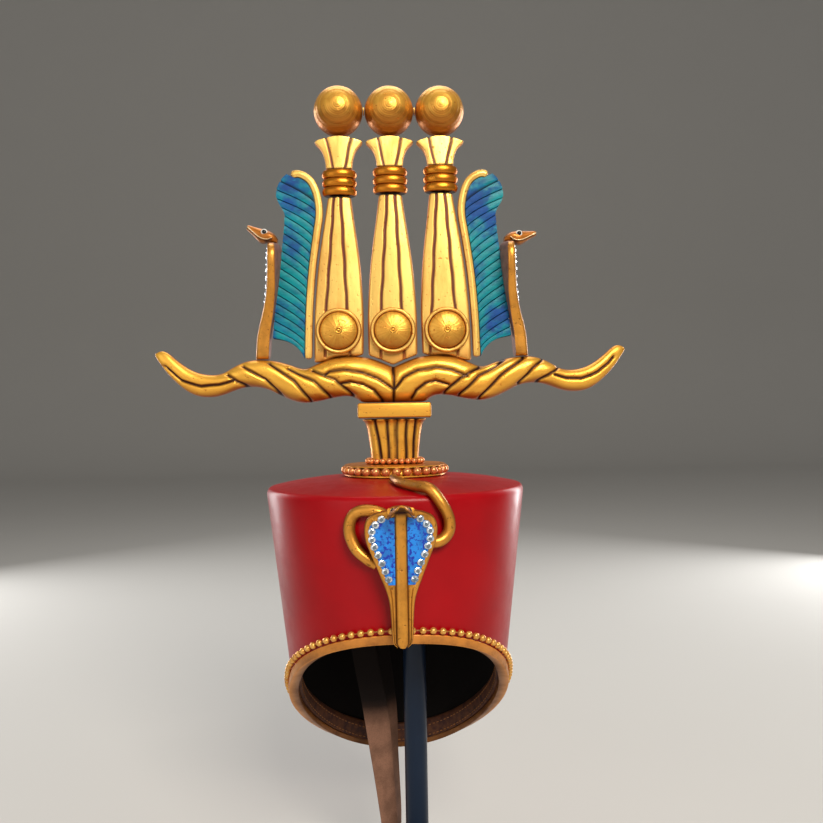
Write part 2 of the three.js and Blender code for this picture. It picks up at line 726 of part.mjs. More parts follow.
function stemBeads() {
  const height = STEM_BASE + STEM_BEAD_RADIUS;
  const pointAt = (angle) => stemPoint(angle, STEM_BASE_HALF, height, GAP + STEM_BEAD_RADIUS);
  return stringLoop(pointAt, STEM_SIDES, STEM_BEAD_RADIUS);
}

function block() {
  const x = BLOCK_WIDTH / 2;
  const outline = [
    new THREE.Vector2(-x, BLOCK_BASE),
    new THREE.Vector2(x, BLOCK_BASE),
    new THREE.Vector2(x, BLOCK_BASE + BLOCK_HEIGHT),
    new THREE.Vector2(-x, BLOCK_BASE + BLOCK_HEIGHT),
  ];
  return plate(outline, BLOCK_DEPTH, BLOCK_EDGE);
}

function hornTop(x) {
  return HORN_BASE + HORN_HEIGHT * along(HORN_ROWS, "out", Math.abs(x) / HORN_HALF_SPAN, "top");
}

function hornSection(row, side) {
  const top = HORN_BASE + HORN_HEIGHT * row.top;
  const low = HORN_BASE + HORN_HEIGHT * row.low;
  const middle = (top + low) / 2;
  const tall = (top - low) / 2;
  return angles(HORN_SIDES).map(
    (turn) =>
      new THREE.Vector3(
        side * row.out * HORN_HALF_SPAN,
        HORN_HALF_DEPTH * row.deep * squarer(Math.sin(turn), HORN_SQUARENESS),
        middle + tall * Math.cos(turn)
      )
  );
}

function horns() {
  const left = HORN_ROWS.slice(1).reverse().map((row) => hornSection(row, -1));
  const right = HORN_ROWS.map((row) => hornSection(row, 1));
  return skin([...left, ...right]);
}

// Middle of a bottle at a height: the outer bottles lean in towards the top.
function bottleMiddle(column, height) {
  const way = (height - DISC_HEIGHT) / (BOTTLE_TOP - DISC_HEIGHT);
  return column.side * (BOTTLE_PITCH + (COLUMN_PITCH - BOTTLE_PITCH) * way);
}

function bottleTop(column) {
  return BOTTLE_TOP + column.lift;
}

// Half width of a bottle at a height.
function bottleHalf(column, height) {
  const base = HORN_BASE + HORN_HEIGHT;
  return BOTTLE_HALF * along(BOTTLE_ROWS, "up", (height - base) / (bottleTop(column) - base), "half");
}

// Distance of the outer bottles' outer edges from the middle at a height.
function bottlesEdge(height) {
  const outer = COLUMNS.filter((column) => column.side !== 0);
  const edges = outer.map((column) => Math.abs(bottleMiddle(column, height)) + bottleHalf(column, height));
  return Math.max(...edges);
}

function bottleOutline(column) {
  const base = HORN_BASE + HORN_HEIGHT;
  const top = bottleTop(column);
  const sides = [1, -1].map((side) =>
    BOTTLE_ROWS.map((row) => {
      const height = base + row.up * (top - base);
      return new THREE.Vector2(bottleMiddle(column, height) + side * BOTTLE_HALF * row.half, height);
    })
  );
  return [...bottleFoot(sides[1][0].x, sides[0][0].x), ...sides[0], ...sides[1].reverse()];
}

// Foot of a bottle between two edges: even steps along the horns' top, clear of what stands between them.
function bottleFoot(from, to) {
  const step = (to - from) / BOTTLE_FOOT_STEPS;
  const places = Array.from({ length: BOTTLE_FOOT_STEPS + 1 }, (_, i) => from + i * step);
  const chord = (x) => {
    const index = Math.min(Math.floor((x - from) / step), BOTTLE_FOOT_STEPS - 1);
    const share = (x - places[index]) / step;
    return hornTop(places[index]) * (1 - share) + hornTop(places[index + 1]) * share;
  };
  const crests = HORN_ROWS.flatMap((row) => [-row.out * HORN_HALF_SPAN, row.out * HORN_HALF_SPAN]);
  const inside = crests.filter((x) => x > from && x < to);
  const lift = Math.max(0, ...inside.map((x) => hornTop(x) - chord(x)));
  return places.map((x) => new THREE.Vector2(x, hornTop(x) + lift + GAP));
}

function turnToFront(geometry) {
  geometry.rotateX(Math.PI / 2);
  return geometry;
}

function placed(geometry, x, y, z) {
  geometry.translate(x, y, z);
  return geometry;
}

function discRim() {
  const inner = DOME_RADIUS + GAP;
  const profile = [
    [inner, 0],
    ...RIM_ROWS.map((row) => [DISC_RADIUS - row.inward, DISC_DEPTH * row.deep]),
    [inner, DISC_DEPTH * RIM_INNER_SHARE],
  ];
  const rings = angles(DISC_SIDES).map((turn) =>
    profile.map(([radius, out]) => new THREE.Vector3(radius * Math.cos(turn), -out, radius * Math.sin(turn)))
  );
  return skin(rings, true);
}

function discDome() {
  const profile = [
    [0, 0],
    ...DOME_ROWS.map((row) => [DOME_RADIUS * row.out, DISC_DEPTH * row.deep]),
    [0, DISC_DEPTH * DOME_DEPTH_SHARE],
  ];
  return turnToFront(lathe(profile, DISC_SIDES));
}

// A collar of stacked rolls, each a third of the way flat.
function collar() {
  const roll = COLLAR_HEIGHT / COLLAR_ROLLS;
  const waist = COLLAR_HALF * COLLAR_WAIST_SHARE;
  const profile = [
    [0, 0],
    [waist, 0],
  ];
  for (let index = 0; index < COLLAR_ROLLS; index += 1) {
    profile.push([COLLAR_HALF, (index + 1 / 3) * roll]);
    profile.push([COLLAR_HALF, (index + 2 / 3) * roll]);
    profile.push([waist, (index + 1) * roll]);
  }
  profile.push([0, COLLAR_HEIGHT]);
  const geometry = lathe(profile, COLLAR_SIDES);
  geometry.scale(1, COLLAR_DEPTH_SHARE, 1);
  return geometry;
}

function flareOutline(base, top) {
  const tall = top - base;
  const right = FLARE_ROWS.map(
    (row) =>
      new THREE.Vector2(FLARE_BASE_HALF + (FLARE_TOP_HALF - FLARE_BASE_HALF) * row.half, base + row.up * tall)
  );
  const left = right.map((p) => new THREE.Vector2(-p.x, p.y)).reverse();
  return [...right, new THREE.Vector2(0, top), ...left];
}

function ball() {
  const geometry = new THREE.SphereGeometry(BALL_RADIUS, BALL_SIDES, BALL_SIDES / 2);
  return outwardCopy(geometry);
}

// Joint between two balls: a small plug that keeps clear of both.
function ballJoint() {
  const length = COLUMN_PITCH - 2 * BALL_RADIUS - 2 * GAP;
  const geometry = new THREE.CylinderGeometry(JOINT_RADIUS, JOINT_RADIUS, length, JOINT_SIDES);
  geometry.rotateZ(Math.PI / 2);
  return outwardCopy(geometry);
}

function featherPoint(row) {
  return new THREE.Vector2(FEATHER_START + row.out * FEATHER_REACH, HORN_BASE + row.up * FEATHER_RISE);
}

// A smooth run of points through table rows.
function smooth(rows, steps) {
  return new THREE.SplineCurve(rows.map(featherPoint)).getPoints(steps);
}

// A line moved sideways by a distance, to the left of its direction for positive values.
function shifted(line, distance) {
  return line.map((point, i) => {
    const ahead = line[Math.min(i + 1, line.length - 1)];
    const behind = line[Math.max(i - 1, 0)];
    const run = new THREE.Vector2().subVectors(ahead, behind).normalize();
    return new THREE.Vector2(point.x - run.y * distance, point.y + run.x * distance);
  });
}

// Middle line of the quill, kept clear of the bottle beside it.
function quillLine() {
  const clearance = QUILL_WIDTH / 2 + GAP;
  return smooth(QUILL_LINE, QUILL_STEPS).map(
    (point) => new THREE.Vector2(Math.max(point.x, bottlesEdge(point.y) + clearance), point.y)
  );
}

function quillOutline() {
  const line = quillLine();
  return [...shifted(line, QUILL_WIDTH / 2), ...shifted(line, -QUILL_WIDTH / 2).reverse()];
}

function featherOutline() {
  const line = quillLine();
  const inner = shifted(line, QUILL_WIDTH / 2 + GAP);
  const outer = smooth(FEATHER_EDGE, FEATHER_STEPS);
  return [...inner.reverse(), ...outer];
}

function mirrored(outline, side) {
  return side > 0 ? outline : outline.map((p) => new THREE.Vector2(-p.x, p.y)).reverse();
}

function hoodValue(share, column) {
  return along(HOOD_ROWS, "up", share, column);
}

// Front face of the hood at a height share, measured forward from the back of its upper plate.
function hoodFace(share) {
  return COBRA_PLATE + COBRA_LEAN * hoodValue(share, "lean");
}

// Section of the hood at a table row, from its left edge over the front and round the back.
function hoodSection(row, ribShare) {
  const half = COBRA_HALF * row.half;
  const face = hoodFace(row.up);
  const back = face - COBRA_PLATE * row.thick;
  const rib = COBRA_RIB * row.rib * ribShare;
  const ridge = Math.min(RIDGE_HALF, half * RIDGE_MOST_SHARE);
  const right = [
    ...RIDGE_ROWS.map((point) => [ridge * point.across, face + RIDGE_RISE * point.out]).reverse(),
    [half - COBRA_EDGE, face],
    [half, face - COBRA_EDGE],
    ...HOOD_BACK_ROWS.map((point) => [half * point.across, back - rib * point.rib]),
  ];
  const left = right.slice(1).map(([across, out]) => [-across, out]);
  return [...right, ...left.reverse()];
}

function cobraHood(ribShare) {
  const rings = HOOD_ROWS.map((row) => {
    const height = row.up * COBRA_HEIGHT;
    return hoodSection(row, ribShare).map(([across, out]) => new THREE.Vector3(across, -out, height));
  });
  return skin(rings);
}

// The head rests on the hood's upper end.
function cobraHead() {
  const base = COBRA_HEIGHT + GAP;
  const rings = HEAD_ROWS.map((row) => {
    const middle = (HEAD_HEIGHT * (row.high + row.low)) / 2;
    const tall = (HEAD_HEIGHT * (row.high - row.low)) / 2;
    return angles(HEAD_SIDES).map(
      (turn) =>
        new THREE.Vector3(
          HEAD_HALF * row.half * Math.sin(turn),
          -HEAD_LENGTH * row.out,
          base + middle + tall * squarer(Math.cos(turn), HEAD_SQUARENESS)
        )
    );
  });
  return skin(rings);
}

// Places of one side's stones on the hood, each with the direction of the row and the way across it.
function stonePlaces(side) {
  const places = STONE_ROWS.map(
    (row) => new THREE.Vector3(side * row.across * COBRA_HALF, -hoodFace(row.up) - GAP, row.up * COBRA_HEIGHT)
  );
  return places.map((centre, i) => {
    const ahead = places[Math.min(i + 1, places.length - 1)];
    const behind = places[Math.max(i - 1, 0)];
    const run = ahead.clone().sub(behind).normalize();
    const sideways = new THREE.Vector3(run.z, 0, -run.x).normalize();
    return { centre, run, sideways };
  });
}

// Blue field between the ridge and the stones, following the hood's face.
function cobraInlay(side) {
  const clear = STONE_RADIUS + 2 * GAP;
  const rings = stonePlaces(1).map((place) => {
    const edge = place.centre.clone().addScaledVector(place.sideways, clear);
    const near = RIDGE_HALF + GAP;
    const far = Math.max(edge.x, near + GAP);
    const low = hoodFace(edge.z / COBRA_HEIGHT) + GAP;
    const high = low + INLAY_THICKNESS;
    return [
      [near, low],
      [far, low],
      [far, high],
      [near, high],
    ].map(([across, out]) => new THREE.Vector3(side * across, -out, edge.z));
  });
  return skin(rings);
}

// One side's stones, joined by the strip that holds them: each has a table and eight facets.
function cobraStones(side) {
  const rings = stonePlaces(side).flatMap((place) =>
    STONE_STEPS.map((step) => {
      const middle = place.centre.clone().addScaledVector(place.run, step.way * STONE_RADIUS);
      return [
        [-1, 0],
        [1, 0],
        [step.table, step.out],
        [-step.table, step.out],
      ].map(([wide, out]) => {
        const corner = middle.clone().addScaledVector(place.sideways, wide * step.wide);
        corner.y -= out;
        return corner;
      });
    })
  );
  return skin(rings);
}

// Builds one cobra's pieces and puts each in place.
function cobra(name, ribShare, place) {
  piece(name + "_cobra_hood", place(cobraHood(ribShare)), "bronze");
  piece(name + "_cobra_head", place(cobraHead()), "bronze");
  [
    { side: -1, label: "a" },
    { side: 1, label: "b" },
  ].forEach((half) => {
    piece(name + "_cobra_inlay_" + half.label, place(cobraInlay(half.side)), "blue");
    piece(name + "_cobra_stones_" + half.label, place(cobraStones(half.side)), "stone");
  });
}

// Point of the tail's middle line on the cap's outside.
function tailPoint(row) {
  const lift = GAP + TAIL_RADIUS * row.thick;
  const across = TAIL_HALF_SPAN * row.across;
  if (row.inward > 0) {
    const y = -CAP_TOP_RADIUS * (1 - row.inward);
    const rise = domeRise(Math.hypot(across, y)) + lift + TAIL_RADIUS * row.raise;
    return new THREE.Vector3(across, y, CAP_TOP_HEIGHT + rise);
  }
  const drop = TAIL_HALF_SPAN * row.drop;
  return capPoint(Math.asin(across / (capHalf(drop).wide + lift)), drop, -lift);
}

function cobraTail() {
  const curve = new THREE.CatmullRomCurve3(TAIL_PATH.map(tailPoint));
  const frames = curve.computeFrenetFrames(TAIL_STEPS, false);
  const rings = frames.tangents.map((_, i) => {
    const share = i / TAIL_STEPS;
    const row = share * (TAIL_PATH.length - 1);
    const low = Math.min(Math.floor(row), TAIL_PATH.length - 2);
    const thick = TAIL_PATH[low].thick + (TAIL_PATH[low + 1].thick - TAIL_PATH[low].thick) * (row - low);
    const radius = TAIL_RADIUS * thick;
    return circle(curve.getPoint(share), frames.normals[i], frames.binormals[i], radius, STRING_SIDES);
  });
  return skin(rings);
}

// A flat strap through table rows, from just below the inside of the top.
function tie(rows) {
  const reach = CAP_TOP_RADIUS * Math.hypot(rows[0].across, rows[0].back) + (TIE_WIDTH + TIE_THICKNESS) / 2;
  const top = GAP - ceilingRise(reach);
  const rings = Array.from({ length: TIE_STEPS + 1 }, (_, i) => {
    const down = i / TIE_STEPS;
    const value = (column) => along(rows, "down", down, column);
    const turn = value("turn");
    const broad = new THREE.Vector3(Math.cos(turn), Math.sin(turn), 0);
    const through = new THREE.Vector3(-Math.sin(turn), Math.cos(turn), 0);
    const height = CAP_TOP_HEIGHT - top - (TIE_DROP - top) * down;
    const centre = new THREE.Vector3(value("across"), value("back"), 0).multiplyScalar(CAP_TOP_RADIUS);
    centre.z = height;
    return CORNERS.map((corner) =>
      centre
        .clone()
        .addScaledVector(broad, (corner.wide * value("wide") * TIE_WIDTH) / 2)
        .addScaledVector(through, (corner.thick * TIE_THICKNESS) / 2)
    );
  });
  return skin(rings);
}

function standFoot() {
  const seat = POLE_RADIUS + GAP;
  const profile = [
    [0, 0],
    [FOOT_RADIUS - FOOT_UNDER_EDGE, 0],
    [FOOT_RADIUS, FOOT_UNDER_EDGE],
    [FOOT_RADIUS, FOOT_THICKNESS - FOOT_EDGE],
    [FOOT_RADIUS - FOOT_EDGE, FOOT_THICKNESS],
    [seat, FOOT_THICKNESS],
    [seat, FOOT_THICKNESS - POLE_SOCKET],
    [0, FOOT_THICKNESS - POLE_SOCKET],
  ];
  return placed(lathe(profile, FOOT_SIDES), POLE_OFFSET, 0, 0);
}

function standPole() {
  const base = FOOT_THICKNESS - POLE_SOCKET + GAP;
  const top = CAP_TOP_HEIGHT + ceilingRise(0) - GAP;
  const profile = [
    [0, base],
    [POLE_RADIUS, base],
    [POLE_RADIUS, top],
    [0, top],
  ];
  return placed(lathe(profile, POLE_SIDES), POLE_OFFSET, 0, 0);
}

// Assembly
piece("stand_foot", standFoot(), "navy");
piece("stand_pole", standPole(), "navy");
piece("cap_shell", capShell(), "crimson");
piece("brim_trim", brimTrim(), "trim");
piece("sweatband", sweatBand(), "brown");
piece("brim_beads", brimBeads(), "beadGold");
piece("plaque", lathe(plaqueProfile(), PLAQUE_SIDES), "gold");
piece("plaque_beads", plaqueBeads(), "beadCopper");
piece("stem", stem(), "gold");
piece("stem_beads", stemBeads(), "beadCopper");
piece("stem_block", block(), "gold");
piece("horns", horns(), "gold");

COLUMNS.forEach((column) => {
  const x = column.side * COLUMN_PITCH;
  const discX = column.side * BOTTLE_PITCH;
  const discY = -BOTTLE_THICKNESS / 2 - GAP;
  const collarBase = bottleTop(column) + GAP;
  const flareBase = collarBase + COLLAR_HEIGHT + GAP;
  piece("bottle_" + column.name, plate(bottleOutline(column), BOTTLE_THICKNESS, PLATE_EDGE), "paleGold");
  piece("disc_rim_" + column.name, placed(discRim(), discX, discY, DISC_HEIGHT), "paleGold");
  piece("disc_dome_" + column.name, placed(discDome(), discX, discY, DISC_HEIGHT), "gold");
  piece("collar_" + column.name, placed(collar(), x, 0, collarBase), "copper");
  const flare = plate(flareOutline(flareBase, FLARE_TOP), FLARE_THICKNESS, FLARE_EDGE);
  piece("flare_" + column.name, placed(flare, x, 0, 0), "paleGold");
  piece("ball_" + column.name, placed(ball(), x, 0, BALL_HEIGHT), "gold");
});

[-1, 1].forEach((side) => {
  const label = side < 0 ? "left" : "right";
  piece("quill_" + label, plate(mirrored(quillOutline(), side), QUILL_THICKNESS, QUILL_EDGE), "paleGold");
  piece("feather_" + label, plate(mirrored(featherOutline(), side), FEATHER_THICKNESS, 0), "turquoise");
  piece("ball_joint_" + label, placed(ballJoint(), (side * COLUMN_PITCH) / 2, 0, BALL_HEIGHT), "gold");
  cobra(label, 1, (geometry) => {
    geometry.rotateZ((side * Math.PI) / 2);
    const foot = SIDE_COBRA_X + COBRA_LEAN + COBRA_PLATE / 2;
    return placed(geometry, side * SIDE_COBRA_X, 0, hornTop(foot) + GAP);
  });
});

cobra("front", 0, (geometry) => {
  geometry.rotateX(FRONT_COBRA_TILT);
  const out = -(capHalf(RIM_FRONT_DROP).deep + FRONT_COBRA_LIFT);
  return placed(geometry, 0, out, CAP_TOP_HEIGHT - RIM_FRONT_DROP + FRONT_COBRA_FOOT);
});
piece("cobra_tail", cobraTail(), "bronze");
TIES.forEach((row) => piece("tie_" + row.name, tie(row.rows), "tan"));

export default group;
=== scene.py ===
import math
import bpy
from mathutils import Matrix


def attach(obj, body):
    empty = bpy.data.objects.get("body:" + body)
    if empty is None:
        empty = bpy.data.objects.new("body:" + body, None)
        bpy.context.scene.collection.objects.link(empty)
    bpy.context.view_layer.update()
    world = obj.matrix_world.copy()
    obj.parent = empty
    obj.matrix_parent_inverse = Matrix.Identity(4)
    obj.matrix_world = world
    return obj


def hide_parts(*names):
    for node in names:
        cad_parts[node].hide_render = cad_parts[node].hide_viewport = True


bl_info = {
    "name": "Pharaoh Headdress",
    "version": (1, 0, 0),
    "blender": (4, 5, 0),
    "location": "3D View > Sidebar > Headdress",
    "description": "Models a crimson pharaoh headdress with cobras, horns, feathers and golden columns on its stand",
    "category": "Add Mesh",
}

import bmesh
import bpy
import numpy as np
from mathutils import Matrix, Vector

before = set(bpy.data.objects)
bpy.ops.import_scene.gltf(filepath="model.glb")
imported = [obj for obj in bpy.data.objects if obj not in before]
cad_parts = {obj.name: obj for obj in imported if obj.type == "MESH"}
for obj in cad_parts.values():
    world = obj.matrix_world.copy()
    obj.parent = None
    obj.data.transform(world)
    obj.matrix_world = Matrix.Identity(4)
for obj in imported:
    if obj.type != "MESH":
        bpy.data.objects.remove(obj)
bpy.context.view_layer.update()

MM = 0.001
GAP = 0.3  # clearance between neighbouring pieces, in millimetres as all lengths below

# Cap
TOP = 326
TOP_RADIUS = 98.9
WALL = 3
CAP_EDGE = 4
DOME_RISE = 8.3
SIDE_TAPER = 0.118
TAPER_DROP = 138
LOWER_TAPER = 0.02
RIM_FRONT = 97
RIM_BACK = 239.4
RIM_SWEEP = 1.1
TRIM_THICK = 2
TRIM_TALL = 6.2
TRIM_INNER = 5
BAND_TALL = 16
BAND_THICK = 4.5
BRIM_RISE = 9.4
BRIM_INSET = -2.95
ROUND = 128  # steps round the cap

# Plaque, stem and block
PLAQUE_RADIUS = 39.4
PLAQUE_BASE = TOP + DOME_RISE + GAP
PLAQUE_THICK = 8
PLAQUE_STRING = 38.55
STEM_BASE = PLAQUE_BASE + PLAQUE_THICK + GAP
STEM_TALL = 35
STEM_LOW_HALF = 18.4
STEM_HIGH_HALF = 26.5
STEM_DEPTH = 0.66
BLOCK_BASE = STEM_BASE + STEM_TALL + GAP
BLOCK_SIZE = (56, 33, 11.6)
HORN_BASE = BLOCK_BASE + BLOCK_SIZE[2] + GAP

# Horns
HORN_SPAN = 182.6
HORN_TALL = 42.5
HORN_DEEP = 11

# Columns
BOTTLE_PITCH = 41.6
COLUMN_PITCH = 39.3
BOTTLE_HALF = 19.2
BOTTLE_TOP = HORN_BASE + 161.5
BOTTLE_THICK = 10
DISC_LEVEL = HORN_BASE + 55.4
DISC_RADIUS = 17.6
DISC_DEEP = 6
DOME_RADIUS = 14.3
COLLAR_HALF = 13.4
COLLAR_DEPTH = 0.62
COLLAR_TALL = 20
FLARE_TOP = HORN_BASE + 207
FLARE_LOW_HALF = 10.1
FLARE_HIGH_HALF = 18.4
FLARE_THICK = 9
BALL_RADIUS = 18.9
BALL_LEVEL = FLARE_TOP + GAP + BALL_RADIUS

# Feathers
FEATHER_START = 52
FEATHER_REACH = 41
FEATHER_RISE = 180
QUILL_WIDE = 5.8
QUILL_THICK = 8
FEATHER_THICK = 5
QUILL_BEND = 0.56  # share of the quill below its crook
BARB_FEET = (425, 546)  # heights of the lowest and highest barb at the quill
BARB_ENDS = (441, 562)  # and at the feather's outer edge
BARB_STEPS = 14

# Cobras
HOOD_TALL = 88.5
HOOD_HALF = 23.6
HOOD_PLATE = 5
HOOD_LEAN = 8
HOOD_RIB = 2.9
SIDE_LEAN = 2.6
RIDGE_HALF = 4.0
RIDGE_RISE = 2.6
STONE_SEAT = 0.9  # middle of the stones above the hood's face
HEAD_LONG = 23.6
HEAD_TALL = 10.9
HEAD_HALF = 7.4
SIDE_COBRA_X = 90
FRONT_TILT = 0.126
FRONT_OUT = 97.126
FRONT_FOOT = 232
TAIL_SPAN = 36
TIE_WIDE = 20
TIE_DROP = 280

# Painted shade: the straps darken from this height up, inside the cap.
STRAP_SHADE_FROM = 134
STRAP_SHADE_OVER = 14

# Stand
POLE_X = 12.5
POLE_RADIUS = 8.8
FOOT_RADIUS = 90
FOOT_THICK = 12

# Outline of the stem: share of its height, share of the way to its upper half width.
STEM_ROWS = ((0, 0), (0.16, 0.01), (0.5, 0.16), (0.8, 0.37), (0.93, 0.6), (1, 1))

# Half of the horns: share of the span, upper edge, lower edge and depth in shares.
HORN_ROWS = (
    (0, 0.647, 0, 1), (0.052, 0.745, 0, 1), (0.104, 0.826, 0, 1), (0.135, 0.848, 0.01, 1),
    (0.165, 0.859, 0.096, 1), (0.2, 0.859, 0.127, 1), (0.257, 0.828, 0.094, 1), (0.315, 0.741, 0.04, 0.98),
    (0.36, 0.655, 0.016, 0.95), (0.39, 0.647, 0.018, 0.93), (0.43, 0.706, 0.064, 0.9),
    (0.485, 0.776, 0.172, 0.86), (0.53, 0.805, 0.271, 0.82), (0.58, 0.812, 0.318, 0.78),
    (0.63, 0.774, 0.311, 0.74), (0.675, 0.682, 0.252, 0.7), (0.72, 0.575, 0.181, 0.66),
    (0.765, 0.551, 0.148, 0.62), (0.82, 0.591, 0.167, 0.57), (0.868, 0.692, 0.261, 0.51),
    (0.915, 0.845, 0.431, 0.44), (0.945, 0.96, 0.567, 0.38), (0.97, 1, 0.706, 0.3),
    (0.99, 0.976, 0.842, 0.18), (1, 0.945, 0.905, 0.05),
)

# Half width of a bottle up its height, and of a flare, in shares.
BOTTLE_ROWS = (
    (0, 0.99), (0.12, 1), (0.26, 0.993), (0.4, 0.945), (0.56, 0.86), (0.72, 0.725), (0.86, 0.59), (1, 0.465),
)
FLARE_ROWS = ((0, 0), (0.3, 0.1), (0.6, 0.38), (0.8, 0.75), (0.93, 1.0), (1, 1.0))

# The columns: name, side and how far the collar stands above the common level.
COLUMNS = (("left", -1, -1.6), ("centre", 0, 0.3), ("right", 1, 1.3))

# Middle line of the quill from its foot up to its crooked tip, and the feather's outer edge from its lower
# corner up, in shares of the feather's reach and rise.
QUILL_LINE = (
    (0.325, 0.19), (0.294, 0.385), (0.23, 0.565), (0.135, 0.72), (0.08, 0.8), (0.085, 0.86), (0.14, 0.915),
    (0.235, 0.957), (0.38, 0.981), (0.5, 0.986), (0.59, 0.978),
)
FEATHER_EDGE = (
    (0.985, 0.283), (0.94, 0.39), (0.87, 0.51), (0.805, 0.63), (0.75, 0.74), (0.73, 0.8), (0.735, 0.82),
    (0.775, 0.838), (0.85, 0.868), (0.88, 0.895), (0.855, 0.93), (0.77, 0.965), (0.68, 0.985),
)

# Hood: share of its height, half width, forward lean, plate thickness and back rib in shares.
HOOD_ROWS = (
    (0, 0.16, 1, 1.5, 0), (0.03, 0.27, 1, 1.6, 0), (0.2, 0.315, 0.86, 1.6, 0), (0.36, 0.38, 0.6, 1.45, 0),
    (0.52, 0.6, 0.33, 1.25, 0.06), (0.6, 0.72, 0.2, 1.15, 0.2), (0.76, 0.955, 0.03, 1, 0.6),
    (0.83, 1, 0, 1, 0.76), (0.9, 0.985, 0, 1, 0.9), (0.955, 0.86, 0.02, 0.95, 1), (0.985, 0.64, 0.05, 0.85, 1),
    (1, 0.4, 0.08, 0.7, 1),
)

# Stones of one side of a hood, in shares of its half width and height.
STONE_ROWS = (
    (0.53, 0.94), (0.7, 0.9), (0.8, 0.85), (0.8, 0.79), (0.735, 0.735), (0.64, 0.675), (0.535, 0.615),
    (0.445, 0.556), (0.36, 0.497),
)

# The front cobra's open head: share of its length, then half width, crown and lips from its base.
FRONT_HEAD_ROWS = (
    (-0.064, 4.5, 1.6, 0), (0.1, 6.6, 2.4, 0), (0.3, 8, 2.8, -2), (0.4, 9, 3.1, -5.2), (0.55, 8.1, 4.2, -3.2),
    (0.7, 6.6, 5.4, -0.6), (0.85, 4.9, 6.5, 2.1), (0.95, 3.7, 7.3, 3.7), (1, 2.6, 7.4, 4.5),
)
JAW_THICK = 3.2

# Closed head: share of its length, lower and upper edge, half width; and the mouth's height along it.
HEAD_ROWS = (
    (-0.064, 0.05, 0.4, 0.541), (0.064, 0, 0.64, 0.892), (0.22, 0, 0.77, 1), (0.33, -0.16, 0.8, 0.98),
    (0.45, -0.2, 0.8, 0.93), (0.593, -0.07, 0.79, 0.757), (0.784, 0.18, 0.78, 0.56), (0.932, 0.35, 0.78, 0.43),
    (1, 0.42, 0.75, 0.34),
)
MOUTH_ROWS = (
    (0.12, 0.3), (0.2, 0.17), (0.315, 0.08), (0.45, 0.08), (0.6, 0.19), (0.8, 0.4), (1, 0.6),
)

# The front cobra's tail: across and down the wall in shares of the loops' span, way in on the top in shares of
# the cap's radius, lift and thickness in shares of the tail's radius.
TAIL_PATH = (
    (-0.444, 1.222, 0, 0, 0.86), (-0.611, 1.111, 0, 0, 0.97), (-0.819, 0.917, 0, 0, 1), (-0.933, 0.625, 0, 0, 1),
    (-0.889, 0.347, 0, 0, 1), (-0.694, 0.222, 0, 0, 1), (-0.361, 0.264, 0, 0, 1), (0, 0.528, 0, 0, 1),
    (0.361, 0.778, 0, 0, 1), (0.694, 0.819, 0, 0, 1), (0.883, 0.667, 0, 0, 1), (0.903, 0.417, 0, 0, 1),
    (0.778, 0.139, 0, 0, 1), (0.556, 0, 0.03, 0.15, 1), (0.264, 0, 0.131, 0, 0.92), (0.028, 0, 0.243, 0, 0.85),
    (-0.067, 0, 0.384, 0, 0.75), (-0.072, 0, 0.531, 0, 0.65),
)

# Ties: way down in shares, place across and back in shares of the cap's radius, turn and share of the width.
TIES = (
    ("front", (
        (0, -0.344, 0.243, 0.1, 1), (0.4, -0.303, 0.243, 0.1, 1), (0.665, -0.182, 0.222, 0.1, 1),
        (0.806, -0.134, 0.182, 0.5, 0.92), (0.951, -0.091, 0.142, 0.75, 0.85), (1, -0.081, 0.121, 0.75, 0.8),
    )),
    ("back", (
        (0, -0.202, 0.364, 0.9, 0.9), (0.4, -0.142, 0.374, 1, 0.9), (0.665, -0.064, 0.364, 0.95, 0.85),
        (0.806, -0.04, 0.344, 1.1, 0.75), (0.951, -0.012, 0.313, 1.25, 0.65), (1, -0.012, 0.313, 1.25, 0.6),
    )),
)

# Grooves of the horns' twist in millimetres across and above the cap's upper edge.
HORN_GROOVES = (
    ((-127.7, 88.2), (-119, 81), (-109.3, 76.1)),
    ((-115.1, 94.1), (-98, 83), (-84.9, 68.5)),
    ((-95.4, 96.2), (-76, 82), (-62.3, 63.9)),
    ((-80.2, 92.1), (-61, 81), (-47.4, 67.2)),
    ((-62.5, 90.3), (-45, 82), (-31.4, 68.8)),
    ((128.9, 89.7), (120, 83), (111, 77.8)),
    ((117.1, 96.7), (107, 88), (97.2, 76.5)),
    ((101.3, 98.2), (82, 83), (65, 64.4)),
    ((86.4, 96.6), (66, 84), (50.6, 68.3)),
    ((66.9, 90.9), (51, 82), (39.2, 70.2)),
    ((-174.2, 93.6), (-162.5, 83.3), (-146.9, 78.8), (-133.7, 79.8), (-121.7, 82.9)),
    ((125.7, 84.1), (135.1, 81.2), (146.5, 80.4), (159.3, 85.4), (168.3, 91.5), (172.8, 97.1)),
    ((-53.3, 85.9), (-49.1, 88.7), (-37.8, 89.9), (-24.3, 87.9), (-12, 82.2), (-0.5, 73.9)),
    ((0.3, 73.9), (7.3, 83.1), (18.5, 89), (32.2, 90.8), (44.7, 88.7), (56.5, 83.8)),
    ((-41.1, 78.3), (-33, 79.7), (-23.3, 78), (-14.7, 72.9), (-8.6, 64.2)),
    ((13.8, 65.8), (17, 72.4), (24.5, 78.5), (32.1, 80), (42, 76.4)),
    ((0, 95), (0, 62)),
)

